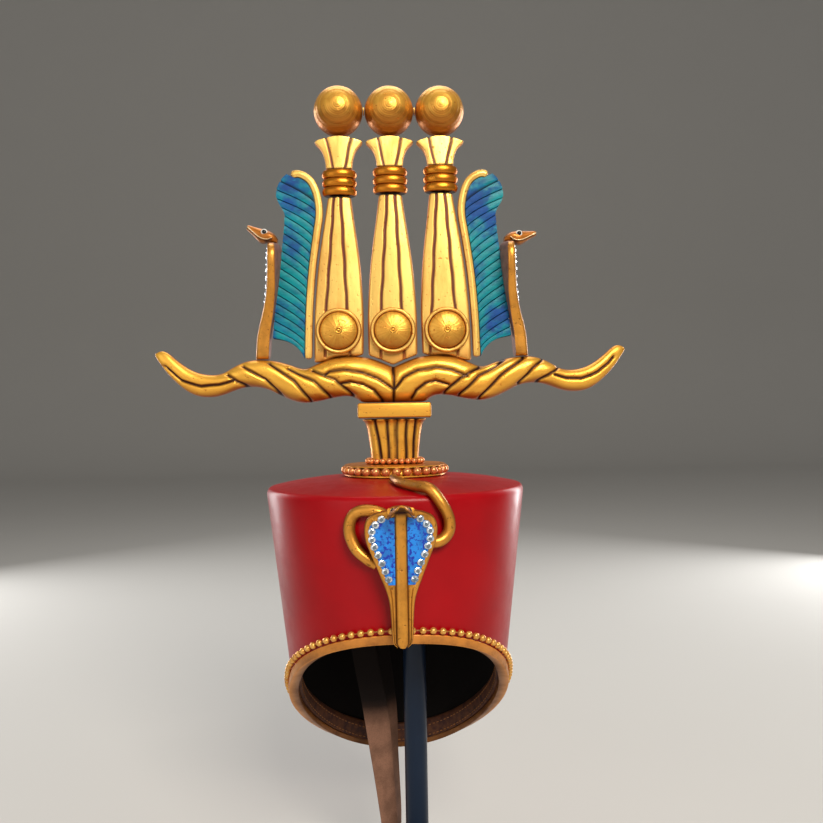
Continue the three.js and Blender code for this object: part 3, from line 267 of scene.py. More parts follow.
# Stripes of the bottles, from under the collar to the horns, for each column, in the same measures.
BOTTLE_STRIPES = {
    "left": (((-43.3, 227), (-51.1, 135.4), (-52.6, 100)), ((-38.6, 227), (-34.9, 136.8), (-33.2, 100))),
    "centre": (((-2.5, 227), (-8.8, 136.5), (-9.4, 96)), ((3.5, 227), (7.4, 135.5), (8.6, 96))),
    "right": (((35.7, 227), (30.5, 135.3), (29, 100)), ((42.1, 227), (48.9, 135.1), (50.2, 100))),
}
STEM_GROOVES = (
    ((-15.8, 53), (-9.6, 14)), ((-6.1, 53), (-4.1, 14)), ((1.2, 53), (1.2, 14)), ((9, 53), (8.6, 14)),
    ((16.6, 53), (14.1, 14)),
)
FLARE_STRIPES = (((-9.5, 30), (-3.2, 0)), ((9.5, 30), (3.2, 0)))


def hexed(code):
    """Linear colour of a colour code."""
    parts = [((code >> shift) & 255) / 255 for shift in (16, 8, 0)]
    return tuple(p / 12.92 if p <= 0.04045 else ((p + 0.055) / 1.055) ** 2.4 for p in parts)


def length_property(title, words, default):
    return bpy.props.FloatProperty(
        name=title, description=words, default=default, min=0.0, unit="LENGTH", subtype="DISTANCE", precision=5
    )


def colour_property(title, words, code):
    return bpy.props.FloatVectorProperty(
        name=title, description=words, default=hexed(code), size=3, min=0.0, max=1.0, subtype="COLOR"
    )


class HeaddressSizes(bpy.types.PropertyGroup):
    groove_width: length_property("Groove Width", "Width of the dark grooves in horns, bottles and stem", 0.0024)
    groove_depth: length_property("Groove Depth", "Depth of the dark grooves", 0.0011)
    brim_bead: length_property("Brim Bead", "Diameter of the beads over the rim", 0.0048)
    brim_pitch: length_property("Brim Pitch", "Distance between two beads over the rim", 0.0070)
    plaque_bead: length_property("Plaque Bead", "Diameter of the beads round the plaque", 0.0066)
    plaque_pitch: length_property("Plaque Pitch", "Distance between two beads round the plaque", 0.0078)
    stem_bead: length_property("Stem Bead", "Diameter of the beads round the stem", 0.0045)
    stem_pitch: length_property("Stem Pitch", "Distance between two beads round the stem", 0.0048)
    barbs: bpy.props.IntProperty(name="Barbs", description="Barbs of a feather", default=18, min=2)
    stone: length_property("Stone", "Diameter of the cut stones", 0.005)
    lip: length_property("Hood Lip", "Height of the raised lip round a hood", 0.0009)
    ripple: length_property("Turned Rings", "Depth of the rings left by turning the balls", 0.00011)
    stitch: length_property("Stitch", "Length of a stitch in the inner band", 0.0024)
    tail: length_property("Tail", "Diameter of the front cobra's tail", 0.008)
    strap: length_property("Strap", "Thickness of the two straps", 0.0015)
    floor: length_property("Floor", "Width of the floor", 9.0)


class HeaddressColours(bpy.types.PropertyGroup):
    crimson: colour_property("Crimson", "Cap", 0xA4000C)
    crimson_deep: colour_property("Deep Crimson", "Darker patches of the cap", 0x7A0008)
    gold: colour_property("Gold", "Horns, block and stem", 0xFABA44)
    # Deep gold also gives the painted shade on turned-away surfaces of the gold.
    gold_deep: colour_property("Deep Gold", "Edges and hollows of the gold", 0xB86414)
    # Painted shade on the undersides of the gold.
    gold_underside_shade: colour_property("Reddish Gold", "Undersides of the gold", 0x86380E)
    pale: colour_property("Pale Gold", "Bottles, flares, discs and quills", 0xFBCE6C)
    # Deep pale gold also gives the painted shade on turned-away surfaces and along the bottles' edges and feet.
    pale_deep: colour_property("Deep Pale Gold", "Edges of the pale gold", 0xB8640E)
    bright: colour_property("Bright Gold", "Balls and domes", 0xFFC450)
    # Painted shade on the low halves of the balls and domes.
    bright_underside_shade: colour_property("Deep Bright Gold", "Low parts of the balls", 0x8C4C10)
    copper: colour_property("Copper", "Collars", 0xCC8024)
    copper_bead: colour_property("Copper Bead", "Beads of plaque and stem", 0xEC965C)
    brim_gold: colour_property("Brim Bead Gold", "Beads over the rim", 0xEDB25A)
    bronze: colour_property("Bronze", "Cobras and tail", 0xE09A3C)
    # Deep bronze also gives the painted shade on turned-away surfaces of the cobras.
    bronze_deep: colour_property("Deep Bronze", "Hollows of the cobras", 0x7C4A16)
    snake: colour_property("Snake Brown", "Heads of the side cobras", 0xC87828)
    mauve: colour_property("Mauve Brown", "Backs of the hoods", 0x8E6A60)
    stripe: colour_property("Stripe", "Stripes of bottles and flares", 0x642A28)
    # Dark paint in the grooves; the same colour also gives painted shade in hollows and under parts.
    groove: colour_property("Groove", "Paint in the grooves", 0x33100E)
    turquoise: colour_property("Turquoise", "Feathers", 0x008C94)
    feather_blue: colour_property("Feather Blue", "Blue patches of the feathers", 0x104A92)
    inlay: colour_property("Inlay Blue", "Fields of the hoods", 0x1A86E6)
    inlay_deep: colour_property("Deep Inlay Blue", "Blotches of the fields", 0x0A2CA8)
    trim: colour_property("Trim", "Rim of the cap", 0xBE7A30)
    trim_deep: colour_property("Deep Trim", "Darker patches of the rim", 0x7C4A1C)
    band: colour_property("Band", "Band inside the rim", 0x5E3214)
    stand: colour_property("Stand", "Pole and foot", 0x0C2038)
    strap: colour_property("Strap", "Straps inside the cap", 0x946C58)
    floor: colour_property("Floor", "Floor and backdrop", 0xC6C4C0)


def deselect():
    if bpy.context.object is not None and bpy.context.object.mode != "OBJECT":
        bpy.ops.object.mode_set(mode="OBJECT")
    bpy.ops.object.select_all(action="DESELECT")


def pick(*objects):
    """Selects objects alone and makes the first one active."""
    deselect()
    for obj in objects:
        obj.select_set(True)
    bpy.context.view_layer.objects.active = objects[0]


def along(rows, at, column):
    """Value of a table's column at a place along it, on a smooth line through its rows."""
    at = min(max(at, rows[0][0]), rows[-1][0])
    index = 1
    while index < len(rows) - 1 and rows[index][0] < at:
        index += 1
    low, high = rows[index - 1], rows[index]
    span = high[0] - low[0]
    share = (at - low[0]) / span

    def slope(i):
        before, after = rows[max(i - 1, 0)], rows[min(i + 1, len(rows) - 1)]
        return span * (after[column] - before[column]) / (after[0] - before[0])

    cubed, squared = share**3, share**2
    return (
        (2 * cubed - 3 * squared + 1) * low[column]
        + (cubed - 2 * squared + share) * slope(index - 1)
        + (3 * squared - 2 * cubed) * high[column]
        + (cubed - squared) * slope(index)
    )


def through(points, at):
    """Point on a smooth line through points, at a share of their number."""
    rows = [(i, *point) for i, point in enumerate(points)]
    place = at * (len(points) - 1)
    return [along(rows, place, column) for column in range(1, len(rows[0]))]


def clamp(value, low=0.0, high=1.0):
    return min(max(value, low), high)


def ease(value):
    value = clamp(value)
    return value * value * (3 - 2 * value)


def squarer(share, power):
    return math.copysign(abs(share) ** power, share)


def turns(count):
    return [2 * math.pi * i / count for i in range(count)]


def cap_half(drop):
    drop = max(drop, 0)
    upper, lower = min(drop, TAPER_DROP), max(drop - TAPER_DROP, 0)
    return TOP_RADIUS - SIDE_TAPER * upper - LOWER_TAPER * lower, TOP_RADIUS - LOWER_TAPER * drop


def cap_point(angle, drop, inset):
    """Point on the cap's wall; angle 0 is the front."""
    wide, deep = cap_half(drop)
    return (wide - inset) * math.sin(angle), -(deep - inset) * math.cos(angle), TOP - drop


def rim_drop(angle):
    return RIM_FRONT + (RIM_BACK - RIM_FRONT) * ((1 - math.cos(angle)) / 2) ** RIM_SWEEP


def dome_rise(radius):
    return DOME_RISE * (1 - min(radius / TOP_RADIUS, 1) ** 3)


def horn_top(x):
    return HORN_BASE + HORN_TALL * along(HORN_ROWS, abs(x) / HORN_SPAN, 1)


def rounded(points, radius, steps=3, looped=True):
    """A line of points in a plane with its corners rounded off."""
    made = []
    count = len(points)
    for i, corner in enumerate(points):
        if not looped and i in (0, count - 1):
            made.append(tuple(corner))
            continue
        here = Vector(corner)
        ends = []
        for other in (points[i - 1], points[(i + 1) % count]):
            way = Vector(other) - here
            ends.append(here + way.normalized() * min(radius, way.length * 0.45))
        for k in range(steps + 1):
            t = k / steps
            made.append(tuple(ends[0] * (1 - t) ** 2 + here * 2 * t * (1 - t) + ends[1] * t * t))
    return made


def lay(obj, ring):
    """Lays the selected ring of points on given places, in the order kept from the first ring."""
    mesh = bmesh.from_edit_mesh(obj.data)
    order = mesh.verts.layers.int["order"]
    for vert in mesh.verts:
        if vert.select:
            vert.co = Vector(ring[vert[order]]) * MM


def skin(name, rings, looped=False, smooth=42, merged=False):
    """Extrudes a circle of points from ring to ring and closes its ends, or joins its last ring to its first."""
    deselect()
    bpy.ops.mesh.primitive_circle_add(vertices=len(rings[0]), radius=MM)
    obj = bpy.context.object
    obj.name = obj.data.name = name
    bpy.ops.object.mode_set(mode="EDIT")
    mesh = bmesh.from_edit_mesh(obj.data)
    order = mesh.verts.layers.int.new("order")
    mesh.verts.ensure_lookup_table()
    for index, vert in enumerate(mesh.verts):
        vert[order] = index
    lay(obj, rings[0])
    for ring in rings[1:] + ([rings[0]] if looped else []):
        bpy.ops.mesh.extrude_edges_indiv()
        lay(obj, ring)
    bmesh.update_edit_mesh(obj.data)
    bpy.ops.mesh.select_all(action="SELECT")
    if looped or merged:
        bpy.ops.mesh.remove_doubles(threshold=0.002 * MM)
    else:
        bpy.ops.mesh.fill_holes(sides=0)
    bpy.ops.mesh.select_all(action="SELECT")
    bpy.ops.mesh.normals_make_consistent(inside=False)
    bpy.ops.object.mode_set(mode="OBJECT")
    obj.data.attributes.remove(obj.data.attributes["order"])
    smoothed(obj, smooth)
    return obj


def smoothed(obj, angle):
    pick(obj)
    bpy.ops.object.shade_smooth_by_angle(angle=math.radians(angle))


def subdivided(obj, levels, angle=60):
    pick(obj)
    finer = obj.modifiers.new("finer", "SUBSURF")
    finer.levels = finer.render_levels = levels
    bpy.ops.object.modifier_apply(modifier=finer.name)
    smoothed(obj, angle)
    return obj


def turned(name, profile, sides, axis="Z", place=(0, 0, 0), looped=False, smooth=42, squash=1.0):
    """A turned shape from a profile of radius and height, with its axis up or towards the front."""
    rings = []
    for radius, height in profile:
        ring = []
        for turn in turns(sides):
            x, other = radius * math.cos(turn), radius * math.sin(turn) * squash
            local = (x, other, height) if axis == "Z" else (x, -height, other)
            ring.append(tuple(a + b for a, b in zip(local, place)))
        rings.append(ring)
    return skin(name, rings, looped, smooth)


def tube(name, points, radii, sides, closed=False):
    """A round tube along points, turned as little as it can be from one to the next."""
    count = len(points)
    path = [Vector(point) for point in points]
    rings = []
    side = None
    for i, here in enumerate(path):
        ahead = path[(i + 1) % count] if closed else path[min(i + 1, count - 1)]
        behind = path[i - 1] if closed else path[max(i - 1, 0)]
        run = (ahead - behind).normalized()
        if closed:
            side = run.cross(Vector((0, 0, 1))).normalized()
        else:
            side = side or run.orthogonal()
            side = (side - run * side.dot(run)).normalized()
        up = run.cross(side)
        rings.append([here + (side * math.cos(t) + up * math.sin(t)) * radii[i] for t in turns(sides)])
    return skin(name, rings, closed)


def moved(obj, matrix):
    """Moves a piece's mesh, keeping its faces outwards."""
    obj.data.transform(matrix)
    if matrix.determinant() < 0:
        obj.data.flip_normals()
    obj.data.update()
    return obj


def copied(obj, name, matrix=None):
    """A copy with its own mesh."""
    other = obj.copy()
    other.data = obj.data.copy()
    other.name = other.data.name = name
    bpy.context.scene.collection.objects.link(other)
    return moved(other, matrix) if matrix else other


def joined(name, *objects):
    pick(*objects)
    if len(objects) > 1:
        bpy.ops.object.join()
    obj = bpy.context.object
    obj.name = obj.data.name = name
    return obj


def removed(obj):
    bpy.data.objects.remove(obj)


def scattered(name, model, places):
    """One mesh that repeats a model at every place."""
    source = model.data
    verts = np.empty(len(source.vertices) * 3)
    source.vertices.foreach_get("co", verts)
    verts = np.c_[verts.reshape(-1, 3), np.ones(len(source.vertices))]
    faces = [tuple(face.vertices) for face in source.polygons]
    all_verts, all_faces = [], []
    for matrix in places:
        offset = len(all_verts)
        all_verts.extend((verts @ np.array(matrix).T)[:, :3].tolist())
        all_faces.extend(tuple(index + offset for index in face) for face in faces)
    mesh = bpy.data.meshes.new(name)
    mesh.from_pydata(all_verts, [], all_faces)
    obj = bpy.data.objects.new(name, mesh)
    bpy.context.scene.collection.objects.link(obj)
    removed(model)
    smoothed(obj, 50)
    return obj


def evenly(points, pitch):
    """Places on a closed line, as near to a pitch apart as goes into it, each with its direction."""
    path = np.array(points + [points[0]])
    reach = np.r_[0, np.cumsum(np.linalg.norm(np.diff(path, axis=0), axis=1))]
    count = max(int(round(reach[-1] / pitch)), 3)
    marks = np.arange(count) * reach[-1] / count
    spots = [np.interp(marks, reach, path[:, axis]) for axis in range(3)]
    ahead = [np.interp((marks + 0.5) % reach[-1], reach, path[:, axis]) for axis in range(3)]
    return [
        (Vector(spot), (Vector(other) - Vector(spot)).normalized())
        for spot, other in zip(zip(*spots), zip(*ahead))
    ]


def bead(diameter):
    """One bead: a ball with its two ends dented by the hole of the thread."""
    radius = diameter / 2
    dents = (3, 16, 34, 53, 72, 90, 108, 127, 146, 164, 177)
    profile = []
    for angle in dents:
        turn = math.radians(angle)
        reach = radius * (0.9 if angle in (3, 177) else 1)
        profile.append((reach * math.sin(turn), reach * math.cos(turn)))
    return turned("bead", profile, 14)


def bead_string(name, points, diameter, pitch):
    places = []
    for spot, run in evenly(points, in_mm(pitch)):
        turn = run.to_track_quat("Z", "Y").to_matrix().to_4x4()
        places.append(Matrix.Translation(spot * MM) @ turn)
    return scattered(name, bead(in_mm(diameter)), places)


def coordinates(obj):
    values = np.empty(len(obj.data.vertices) * 3)
    obj.data.vertices.foreach_get("co", values)
    return values.reshape(-1, 3) / MM


def painted(obj, name, values):
    """Keeps a value for each point of a piece, for its material."""
    layer = obj.data.attributes.get(name) or obj.data.attributes.new(name, "FLOAT", "POINT")
    layer.data.foreach_set("value", np.asarray(values, dtype=np.float32))


def away_from(lines, spots):
    """Distance of flat points from the nearest of some lines."""
    nearest = np.full(len(spots), 1e9)
    for line in lines:
        for start, end in zip(line, line[1:]):
            start, way = np.array(start), np.array(end) - np.array(start)
            share = np.clip(((spots - start) @ way) / (way @ way), 0, 1)
            gap = np.linalg.norm(spots - start - share[:, None] * way, axis=1)
            nearest = np.minimum(nearest, gap)
    return nearest


def carved(obj, lines, width, depth, shoulder=0.0):
    """Sinks grooves along lines in X and Z into a piece's front and back, and marks them for the paint.
    A shoulder rounds what stands between them over that width."""
    spots = coordinates(obj)
    flat = spots[:, [0, 2]] + 0.22 * np.sin(spots[:, [2, 0]] / 4.1 + spots[:, [0, 2]] / 9)
    away = away_from(lines, flat)
    mark = np.clip(1.35 - away / (width / 2), 0, 1)
    mark = mark * mark * (3 - 2 * mark)
    round_off = np.clip(1 - away / max(shoulder, 0.001), 0, 1) ** 2
    normals = np.empty(len(spots) * 3)
    obj.data.vertices.foreach_get("normal", normals)
    normals = normals.reshape(-1, 3)
    sink = mark * depth + round_off * min(shoulder * 0.25, 1.4)
    spots -= normals * (sink * np.clip(np.abs(normals[:, 1]) * 1.5, 0, 1))[:, None]
    obj.data.vertices.foreach_set("co", (spots * MM).ravel())
    obj.data.update()
    painted(obj, "groove", mark)
    return obj


def handed(obj, slot, nodes, *materials):
    """Gives a finished piece its materials, its body and the solids that it stands for; its record slot is not used.
    """
    if materials:
        obj.data.materials.clear()
        for material in materials:
            obj.data.materials.append(material)
    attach(obj, "root")
    if nodes:
        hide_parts(*nodes)
    return obj


def in_mm(value):
    """Millimetres of a length in metres."""
    return value / MM


class Finish:
    """Builds one material's nodes round its shader."""

    def __init__(self, name, roughness=0.5, metallic=0.0, specular=0.5):
        self.material = bpy.data.materials.new(name)
        self.material.use_nodes = True
        self.tree = self.material.node_tree
        self.shader = self.tree.nodes["Principled BSDF"]
        self.shader.inputs["Roughness"].default_value = roughness
        self.shader.inputs["Metallic"].default_value = metallic
        self.shader.inputs["Specular IOR Level"].default_value = specular
        self.place = self.node("ShaderNodeTexCoord").outputs["Object"]

    def node(self, kind, **settings):
        made = self.tree.nodes.new(kind)
        for key, value in settings.items():
            setattr(made, key, value)
        return made

    def put(self, value, socket):
        if isinstance(value, bpy.types.NodeSocket):
            self.tree.links.new(value, socket)
        elif socket.type == "RGBA":
            socket.default_value = (*value, 1.0)
        else:
            socket.default_value = value

    def noise(self, scale, detail=4.0, rough=0.55, stretch=(1, 1, 1)):
        mapping = self.node("ShaderNodeMapping")
        mapping.inputs["Scale"].default_value = stretch
        self.put(self.place, mapping.inputs["Vector"])
        made = self.node("ShaderNodeTexNoise")
        self.put(mapping.outputs["Vector"], made.inputs["Vector"])
        for key, value in (("Scale", scale), ("Detail", detail), ("Roughness", rough)):
            made.inputs[key].default_value = value
        return made.outputs["Fac"]

    def cells(self, scale):
        made = self.node("ShaderNodeTexVoronoi")
        self.put(self.place, made.inputs["Vector"])
        made.inputs["Scale"].default_value = scale
        return made.outputs["Distance"]

    def spread(self, source, low, high, start=0.0, end=1.0):
        made = self.node("ShaderNodeMapRange", interpolation_type="SMOOTHSTEP")
        for value, socket in zip((source, low, high, start, end), made.inputs):
            self.put(value, socket)
        return made.outputs["Result"]

    def sum(self, kind, first, second):
        made = self.node("ShaderNodeMath", operation=kind)
        self.put(first, made.inputs[0])
        self.put(second, made.inputs[1])
        return made.outputs[0]

    def mix(self, factor, first, second):
        made = self.node("ShaderNodeMix", data_type="RGBA")
        self.put(factor, made.inputs[0])
        self.put(first, made.inputs[6])
        self.put(second, made.inputs[7])
        return made.outputs[2]

    def kept(self, name):
        return self.node("ShaderNodeAttribute", attribute_name=name).outputs["Fac"]

    def facing(self, axis):
        """The part of the surface's direction along an axis."""
        apart = self.node("ShaderNodeSeparateXYZ")
        self.put(self.node("ShaderNodeNewGeometry").outputs["Normal"], apart.inputs[0])
        return apart.outputs["XYZ".index(axis)]

    def bump(self, height, strength, distance):
        made = self.node("ShaderNodeBump")
        made.inputs["Strength"].default_value = strength
        made.inputs["Distance"].default_value = distance * MM
        self.put(height, made.inputs["Height"])
        socket = self.shader.inputs["Normal"]
        if socket.is_linked:
            self.put(socket.links[0].from_socket, made.inputs["Normal"])
        self.put(made.outputs["Normal"], socket)

    def colour(self, value):
        self.put(value, self.shader.inputs["Base Color"])

    def roughened(self, source, low, high):
        self.put(self.spread(source, 0.3, 0.7, low, high), self.shader.inputs["Roughness"])


def gilt(name, bright, deep, groove, low=None, metallic=0.75, rough=(0.3, 0.48), pits=0.3, brushed=(1, 1, 1),
         underside_shade_from=-0.1, underside_shade_to=-0.95, edges=(0.85, 0.2)):
    """Gilding: patches of two golds, fine pits, dark paint in the grooves, and painted shade on turned-away surfaces,
    undersides, marked edges and marked hollows.
    """
    finish = Finish(name, metallic=metallic)
    patches = finish.noise(70, 5, 0.6, brushed)
    fine = finish.noise(620, 3, 0.6, brushed)
    tint = finish.mix(finish.spread(patches, 0.42, 0.72, 0.0, 0.45), bright, deep)
    # Painted shade: surfaces turning away from the front and back are mixed towards the deep colour.
    edge = finish.sum("ABSOLUTE", finish.facing("Y"), 0.0)
    tint = finish.mix(finish.spread(edge, *edges, 0.0, 0.85), tint, deep)
    # Painted shade: down-facing surfaces are mixed towards the low colour.
    if low is not None:
        under = finish.sum("ADD", finish.facing("Z"), finish.spread(patches, 0.3, 0.7, -0.15, 0.15))
        tint = finish.mix(finish.spread(under, underside_shade_from, underside_shade_to, 0.0, 0.8), tint, low)
    pit = finish.spread(finish.noise(430, 2, 0.5), 0.64, 0.72)
    tint = finish.mix(finish.sum("MULTIPLY", pit, 0.75), tint, deep)
    # Dark paint in the grooves, and painted shade where the mark stands for shade.
    tint = finish.mix(finish.kept("groove"), tint, groove)
    # Painted shade along the bottles' edges and at their feet.
    tint = finish.mix(finish.sum("MULTIPLY", finish.kept("painted_edge_shade"), 0.8), tint, deep)
    stroke = finish.kept("brush")
    tint = finish.mix(finish.sum("MULTIPLY", stroke, 0.4), tint, deep)
    finish.colour(tint)
    finish.roughened(patches, *rough)
    finish.bump(stroke, 0.25, 0.3)
    finish.bump(finish.sum("SUBTRACT", finish.sum("MULTIPLY", fine, 0.5), pit), pits, 0.25)
    finish.bump(finish.noise(150, 3, 0.5, brushed), 0.25, 0.6)
    return finish.material


def make_finishes(colours):
    """Every material of the headdress, by name."""
    groove = tuple(colours.groove)
    made = {}
    made["gold"] = gilt("gold_of_horns", colours.gold, colours.gold_deep, groove, colours.gold_underside_shade, metallic=0.6,
                        rough=(0.3, 0.46),
                        brushed=(0.25, 1, 1))
    made["pale"] = gilt("pale_gold_of_columns", colours.pale, colours.pale_deep, colours.stripe, metallic=0.58, pits=0.45,
                        brushed=(1, 1, 0.3))
    made["bright"] = gilt("turned_gold", colours.bright, colours.gold_deep, groove, colours.bright_underside_shade,
                          metallic=0.65, rough=(0.3, 0.42), pits=0.6, underside_shade_from=0.3, underside_shade_to=-0.6,
                          edges=(0.6, 0.1))
    made["copper"] = gilt("coppery_gold", colours.copper, colours.gold_deep, groove, metallic=0.9,
                          rough=(0.24, 0.36))
    made["bronze"] = gilt("golden_bronze", colours.bronze, colours.bronze_deep, groove, metallic=0.7,
                          rough=(0.3, 0.45), pits=0.55)
    made["snake"] = gilt("snake_brown", colours.snake, colours.bronze_deep, groove, metallic=0.5,
                         rough=(0.3, 0.45))
    made["copper_bead"] = gilt("copper_beads", colours.copper_bead, colours.copper, groove, metallic=0.6,
                               rough=(0.2, 0.3), pits=0.05, edges=(0.4, 0.0))
    made["brim_bead"] = gilt("golden_beads", colours.brim_gold, colours.gold_deep, groove, metallic=0.65,
                             rough=(0.2, 0.3), pits=0.05, edges=(0.4, 0.0))

    back = Finish("hood_back", 0.55)
    back.colour(back.mix(back.spread(back.noise(160), 0.35, 0.7, 0.0, 0.4), colours.mauve, groove))
    back.bump(back.noise(500), 0.3, 0.3)
    made["mauve"] = back.material

    cap = Finish("crimson_leather", 0.36, 0.0, 0.2)
    cap.shader.inputs["Coat Weight"].default_value = 0.06
    cap.shader.inputs["Coat Roughness"].default_value = 0.15
    patches = cap.noise(22, 4, 0.55)
    cap.colour(cap.mix(cap.spread(patches, 0.35, 0.72, 0.0, 0.3), colours.crimson, colours.crimson_deep))
    cap.roughened(cap.noise(60, 5, 0.6), 0.3, 0.42)
    cap.bump(cap.noise(900, 3, 0.6), 0.12, 0.15)
    cap.bump(cap.noise(30, 2, 0.5), 0.12, 1.2)
    made["cap"] = cap.material

    # Painted shade: the lining is near-black for the deep shade inside the cap.
    lining = Finish("dark_lining", 0.92, 0.0, 0.15)
    lining.colour(lining.mix(lining.noise(300), (0.004, 0.003, 0.003), (0.009, 0.007, 0.006)))
    lining.bump(lining.noise(900), 0.4, 0.2)
    made["lining"] = lining.material

    trim = Finish("rim_leather", 0.5, 0.1, 0.35)
    patches = trim.noise(55, 5, 0.65)
    tint = trim.mix(trim.spread(patches, 0.35, 0.7), colours.trim, colours.trim_deep)
    rubbed = tuple(min(1.0, value * 1.7) for value in colours.trim)
    tint = trim.mix(trim.kept("rubbed"), tint, rubbed)
    # Painted shade on the trim's inner side, in the band colour.
    trim.colour(trim.mix(trim.kept("groove"), tint, colours.band))
    trim.roughened(patches, 0.34, 0.52)
    trim.bump(trim.noise(420, 4, 0.6), 0.3, 0.25)
    made["trim"] = trim.material

    band = Finish("dark_band", 0.7)
    band.colour(band.mix(band.spread(band.noise(180), 0.35, 0.7), colours.band, groove))
    band.bump(band.noise(700), 0.4, 0.25)
    made["band"] = band.material
    thread = Finish("waxed_thread", 0.6)
    thread.colour(thread.mix(thread.noise(900), colours.trim, colours.trim_deep))
    made["thread"] = thread.material

    feather = Finish("feather_enamel", 0.5, 0.0, 0.25)
    blend = feather.spread(feather.noise(34, 4, 0.62), 0.42, 0.62)
    tint = feather.mix(blend, colours.turquoise, colours.feather_blue)
    streak = feather.spread(feather.noise(260, 4, 0.65, (0.35, 1, 1)), 0.35, 0.75, 0.0, 0.5)
    tint = feather.mix(streak, tint, tuple(value * 0.35 for value in colours.feather_blue))
    glint = feather.spread(feather.noise(340, 3, 0.6, (0.35, 1, 1)), 0.6, 0.78, 0.0, 0.5)
    tint = feather.mix(glint, tint, tuple(min(1.0, value * 1.6 + 0.03) for value in colours.turquoise))
    feather.colour(feather.mix(feather.kept("groove"), tint, (0.004, 0.008, 0.014)))
    feather.roughened(blend, 0.4, 0.58)
    feather.bump(feather.noise(380, 4, 0.65, (0.35, 1, 1)), 0.35, 0.35)
    made["feather"] = feather.material

    inlay = Finish("blue_enamel", 0.42)
    specks = inlay.spread(inlay.noise(430, 3, 0.6), 0.52, 0.58)
    base = inlay.mix(inlay.spread(inlay.noise(130), 0.4, 0.65, 0.0, 0.5), colours.inlay, colours.feather_blue)
    inlay.colour(inlay.mix(specks, base, colours.inlay_deep))
    inlay.bump(inlay.noise(420), 0.4, 0.3)
    made["inlay"] = inlay.material

    stone = Finish("cut_glass", 0.04, 0.55, 1.0)
    stone.shader.inputs["Coat Weight"].default_value = 1.0
    stone.shader.inputs["Coat Roughness"].default_value = 0.02
    shine = stone.mix(stone.spread(stone.noise(240, 1), 0.4, 0.6), (0.86, 0.92, 0.97), (0.6, 0.72, 0.86))
    # Painted reflection: facets darkened by their marked value.
    dark = stone.spread(stone.kept("painted_facet_reflection"), 0.45, 0.95, 0.0, 0.9)
    stone.colour(stone.mix(dark, shine, (0.05, 0.09, 0.14)))
    made["stone"] = stone.material

    white = Finish("eye_white", 0.25)
    white.colour(white.mix(white.noise(900), (0.86, 0.83, 0.78), (0.7, 0.66, 0.6)))
    made["white"] = white.material
    black = Finish("eye_black", 0.06, specular=0.3)
    black.colour(black.mix(black.noise(900), (0.004, 0.004, 0.005), (0.012, 0.012, 0.014)))
    made["black"] = black.material
    lip = Finish("mouth_line", 0.35, 0.3)
    lip.colour(lip.mix(lip.noise(500), (0.9, 0.72, 0.45), (0.75, 0.5, 0.22)))
    made["lip"] = lip.material

    stand = Finish("stand_paint", 0.34, 0.0, 0.3)
    stand.colour(stand.mix(stand.noise(40), colours.stand, tuple(value * 0.6 for value in colours.stand)))
    stand.roughened(stand.noise(120), 0.3, 0.42)
    stand.bump(stand.noise(500), 0.08, 0.2)
    made["stand"] = stand.material

    strap = Finish("tan_strap", 0.9, 0.0, 0.15)
    tan = strap.mix(strap.spread(strap.noise(60, 4), 0.35, 0.7), colours.strap,
                    tuple(value * 0.6 for value in colours.strap))
    tan = strap.mix(strap.spread(strap.noise(1500, 2), 0.4, 0.65, 0.0, 0.35), tan,
                    tuple(value * 0.35 for value in colours.strap))
    # The marked upper part of each strap turns near-black: painted shade.
    strap.colour(strap.mix(strap.kept("groove"), tan, (0.012, 0.008, 0.007)))
    strap.bump(strap.noise(1300, 3, 0.6), 0.5, 0.25)
    made["strap"] = strap.material

    floor = Finish("studio_paper", 0.85, 0.0, 0.2)
    floor.colour(floor.mix(floor.noise(3), colours.floor, tuple(value * 0.97 for value in colours.floor)))
    made["floor"] = floor.material
    return made


FINISHES = {}


def finish(name):
    """One of the headdress's materials; all are made when the first is asked for."""
    if not FINISHES:
        FINISHES.update(make_finishes(bpy.context.scene.headdress_colours))
    return FINISHES[name]


def sizes():
    return bpy.context.scene.headdress_sizes


class HEADDRESS_OT_stand(bpy.types.Operator):
    """Turn the stand's round foot and its pole"""

    bl_idname = "headdress.stand"
    bl_label = "Stand"
    bl_options = {"REGISTER", "UNDO"}

    def execute(self, context):
        seat = POLE_RADIUS + GAP
        profile = rounded(
            [(0.5, 0), (FOOT_RADIUS - 1, 0), (FOOT_RADIUS, 1), (FOOT_RADIUS, FOOT_THICK - 3),
             (FOOT_RADIUS - 3, FOOT_THICK), (FOOT_RADIUS - 16, FOOT_THICK), (FOOT_RADIUS - 17, FOOT_THICK - 0.6),
             (FOOT_RADIUS - 18, FOOT_THICK), (seat, FOOT_THICK), (seat, FOOT_THICK - 6), (0.5, FOOT_THICK - 6)],
            1.2, 3, False)
        foot = turned("foot_of_stand", profile, 96, place=(POLE_X, 0, 0))
        handed(foot, "stand", ["stand_foot"], finish("stand"))
        base = FOOT_THICK - 6 + GAP
        top = TOP + dome_rise(0) - WALL - 3
        profile = rounded([(0.5, base), (POLE_RADIUS, base), (POLE_RADIUS, top), (0.5, top)], 1.5, 4, False)
        pole = turned("pole_of_stand", profile, 48, place=(POLE_X, 0, 0))
        handed(pole, "stand", ["stand_pole"], finish("stand"))
        return {"FINISHED"}


def top_ring(radius, sink):
    return [
        (radius * math.sin(turn), -radius * math.cos(turn), TOP + dome_rise(radius) - sink)
        for turn in turns(ROUND)
    ]


def wall_ring(share, inset, below=0.0):
    ring = []
    for angle in turns(ROUND):
        lowest = rim_drop(angle) - TRIM_THICK - GAP
        ring.append(cap_point(angle, CAP_EDGE + share * (lowest - CAP_EDGE) + below, inset))
    return ring


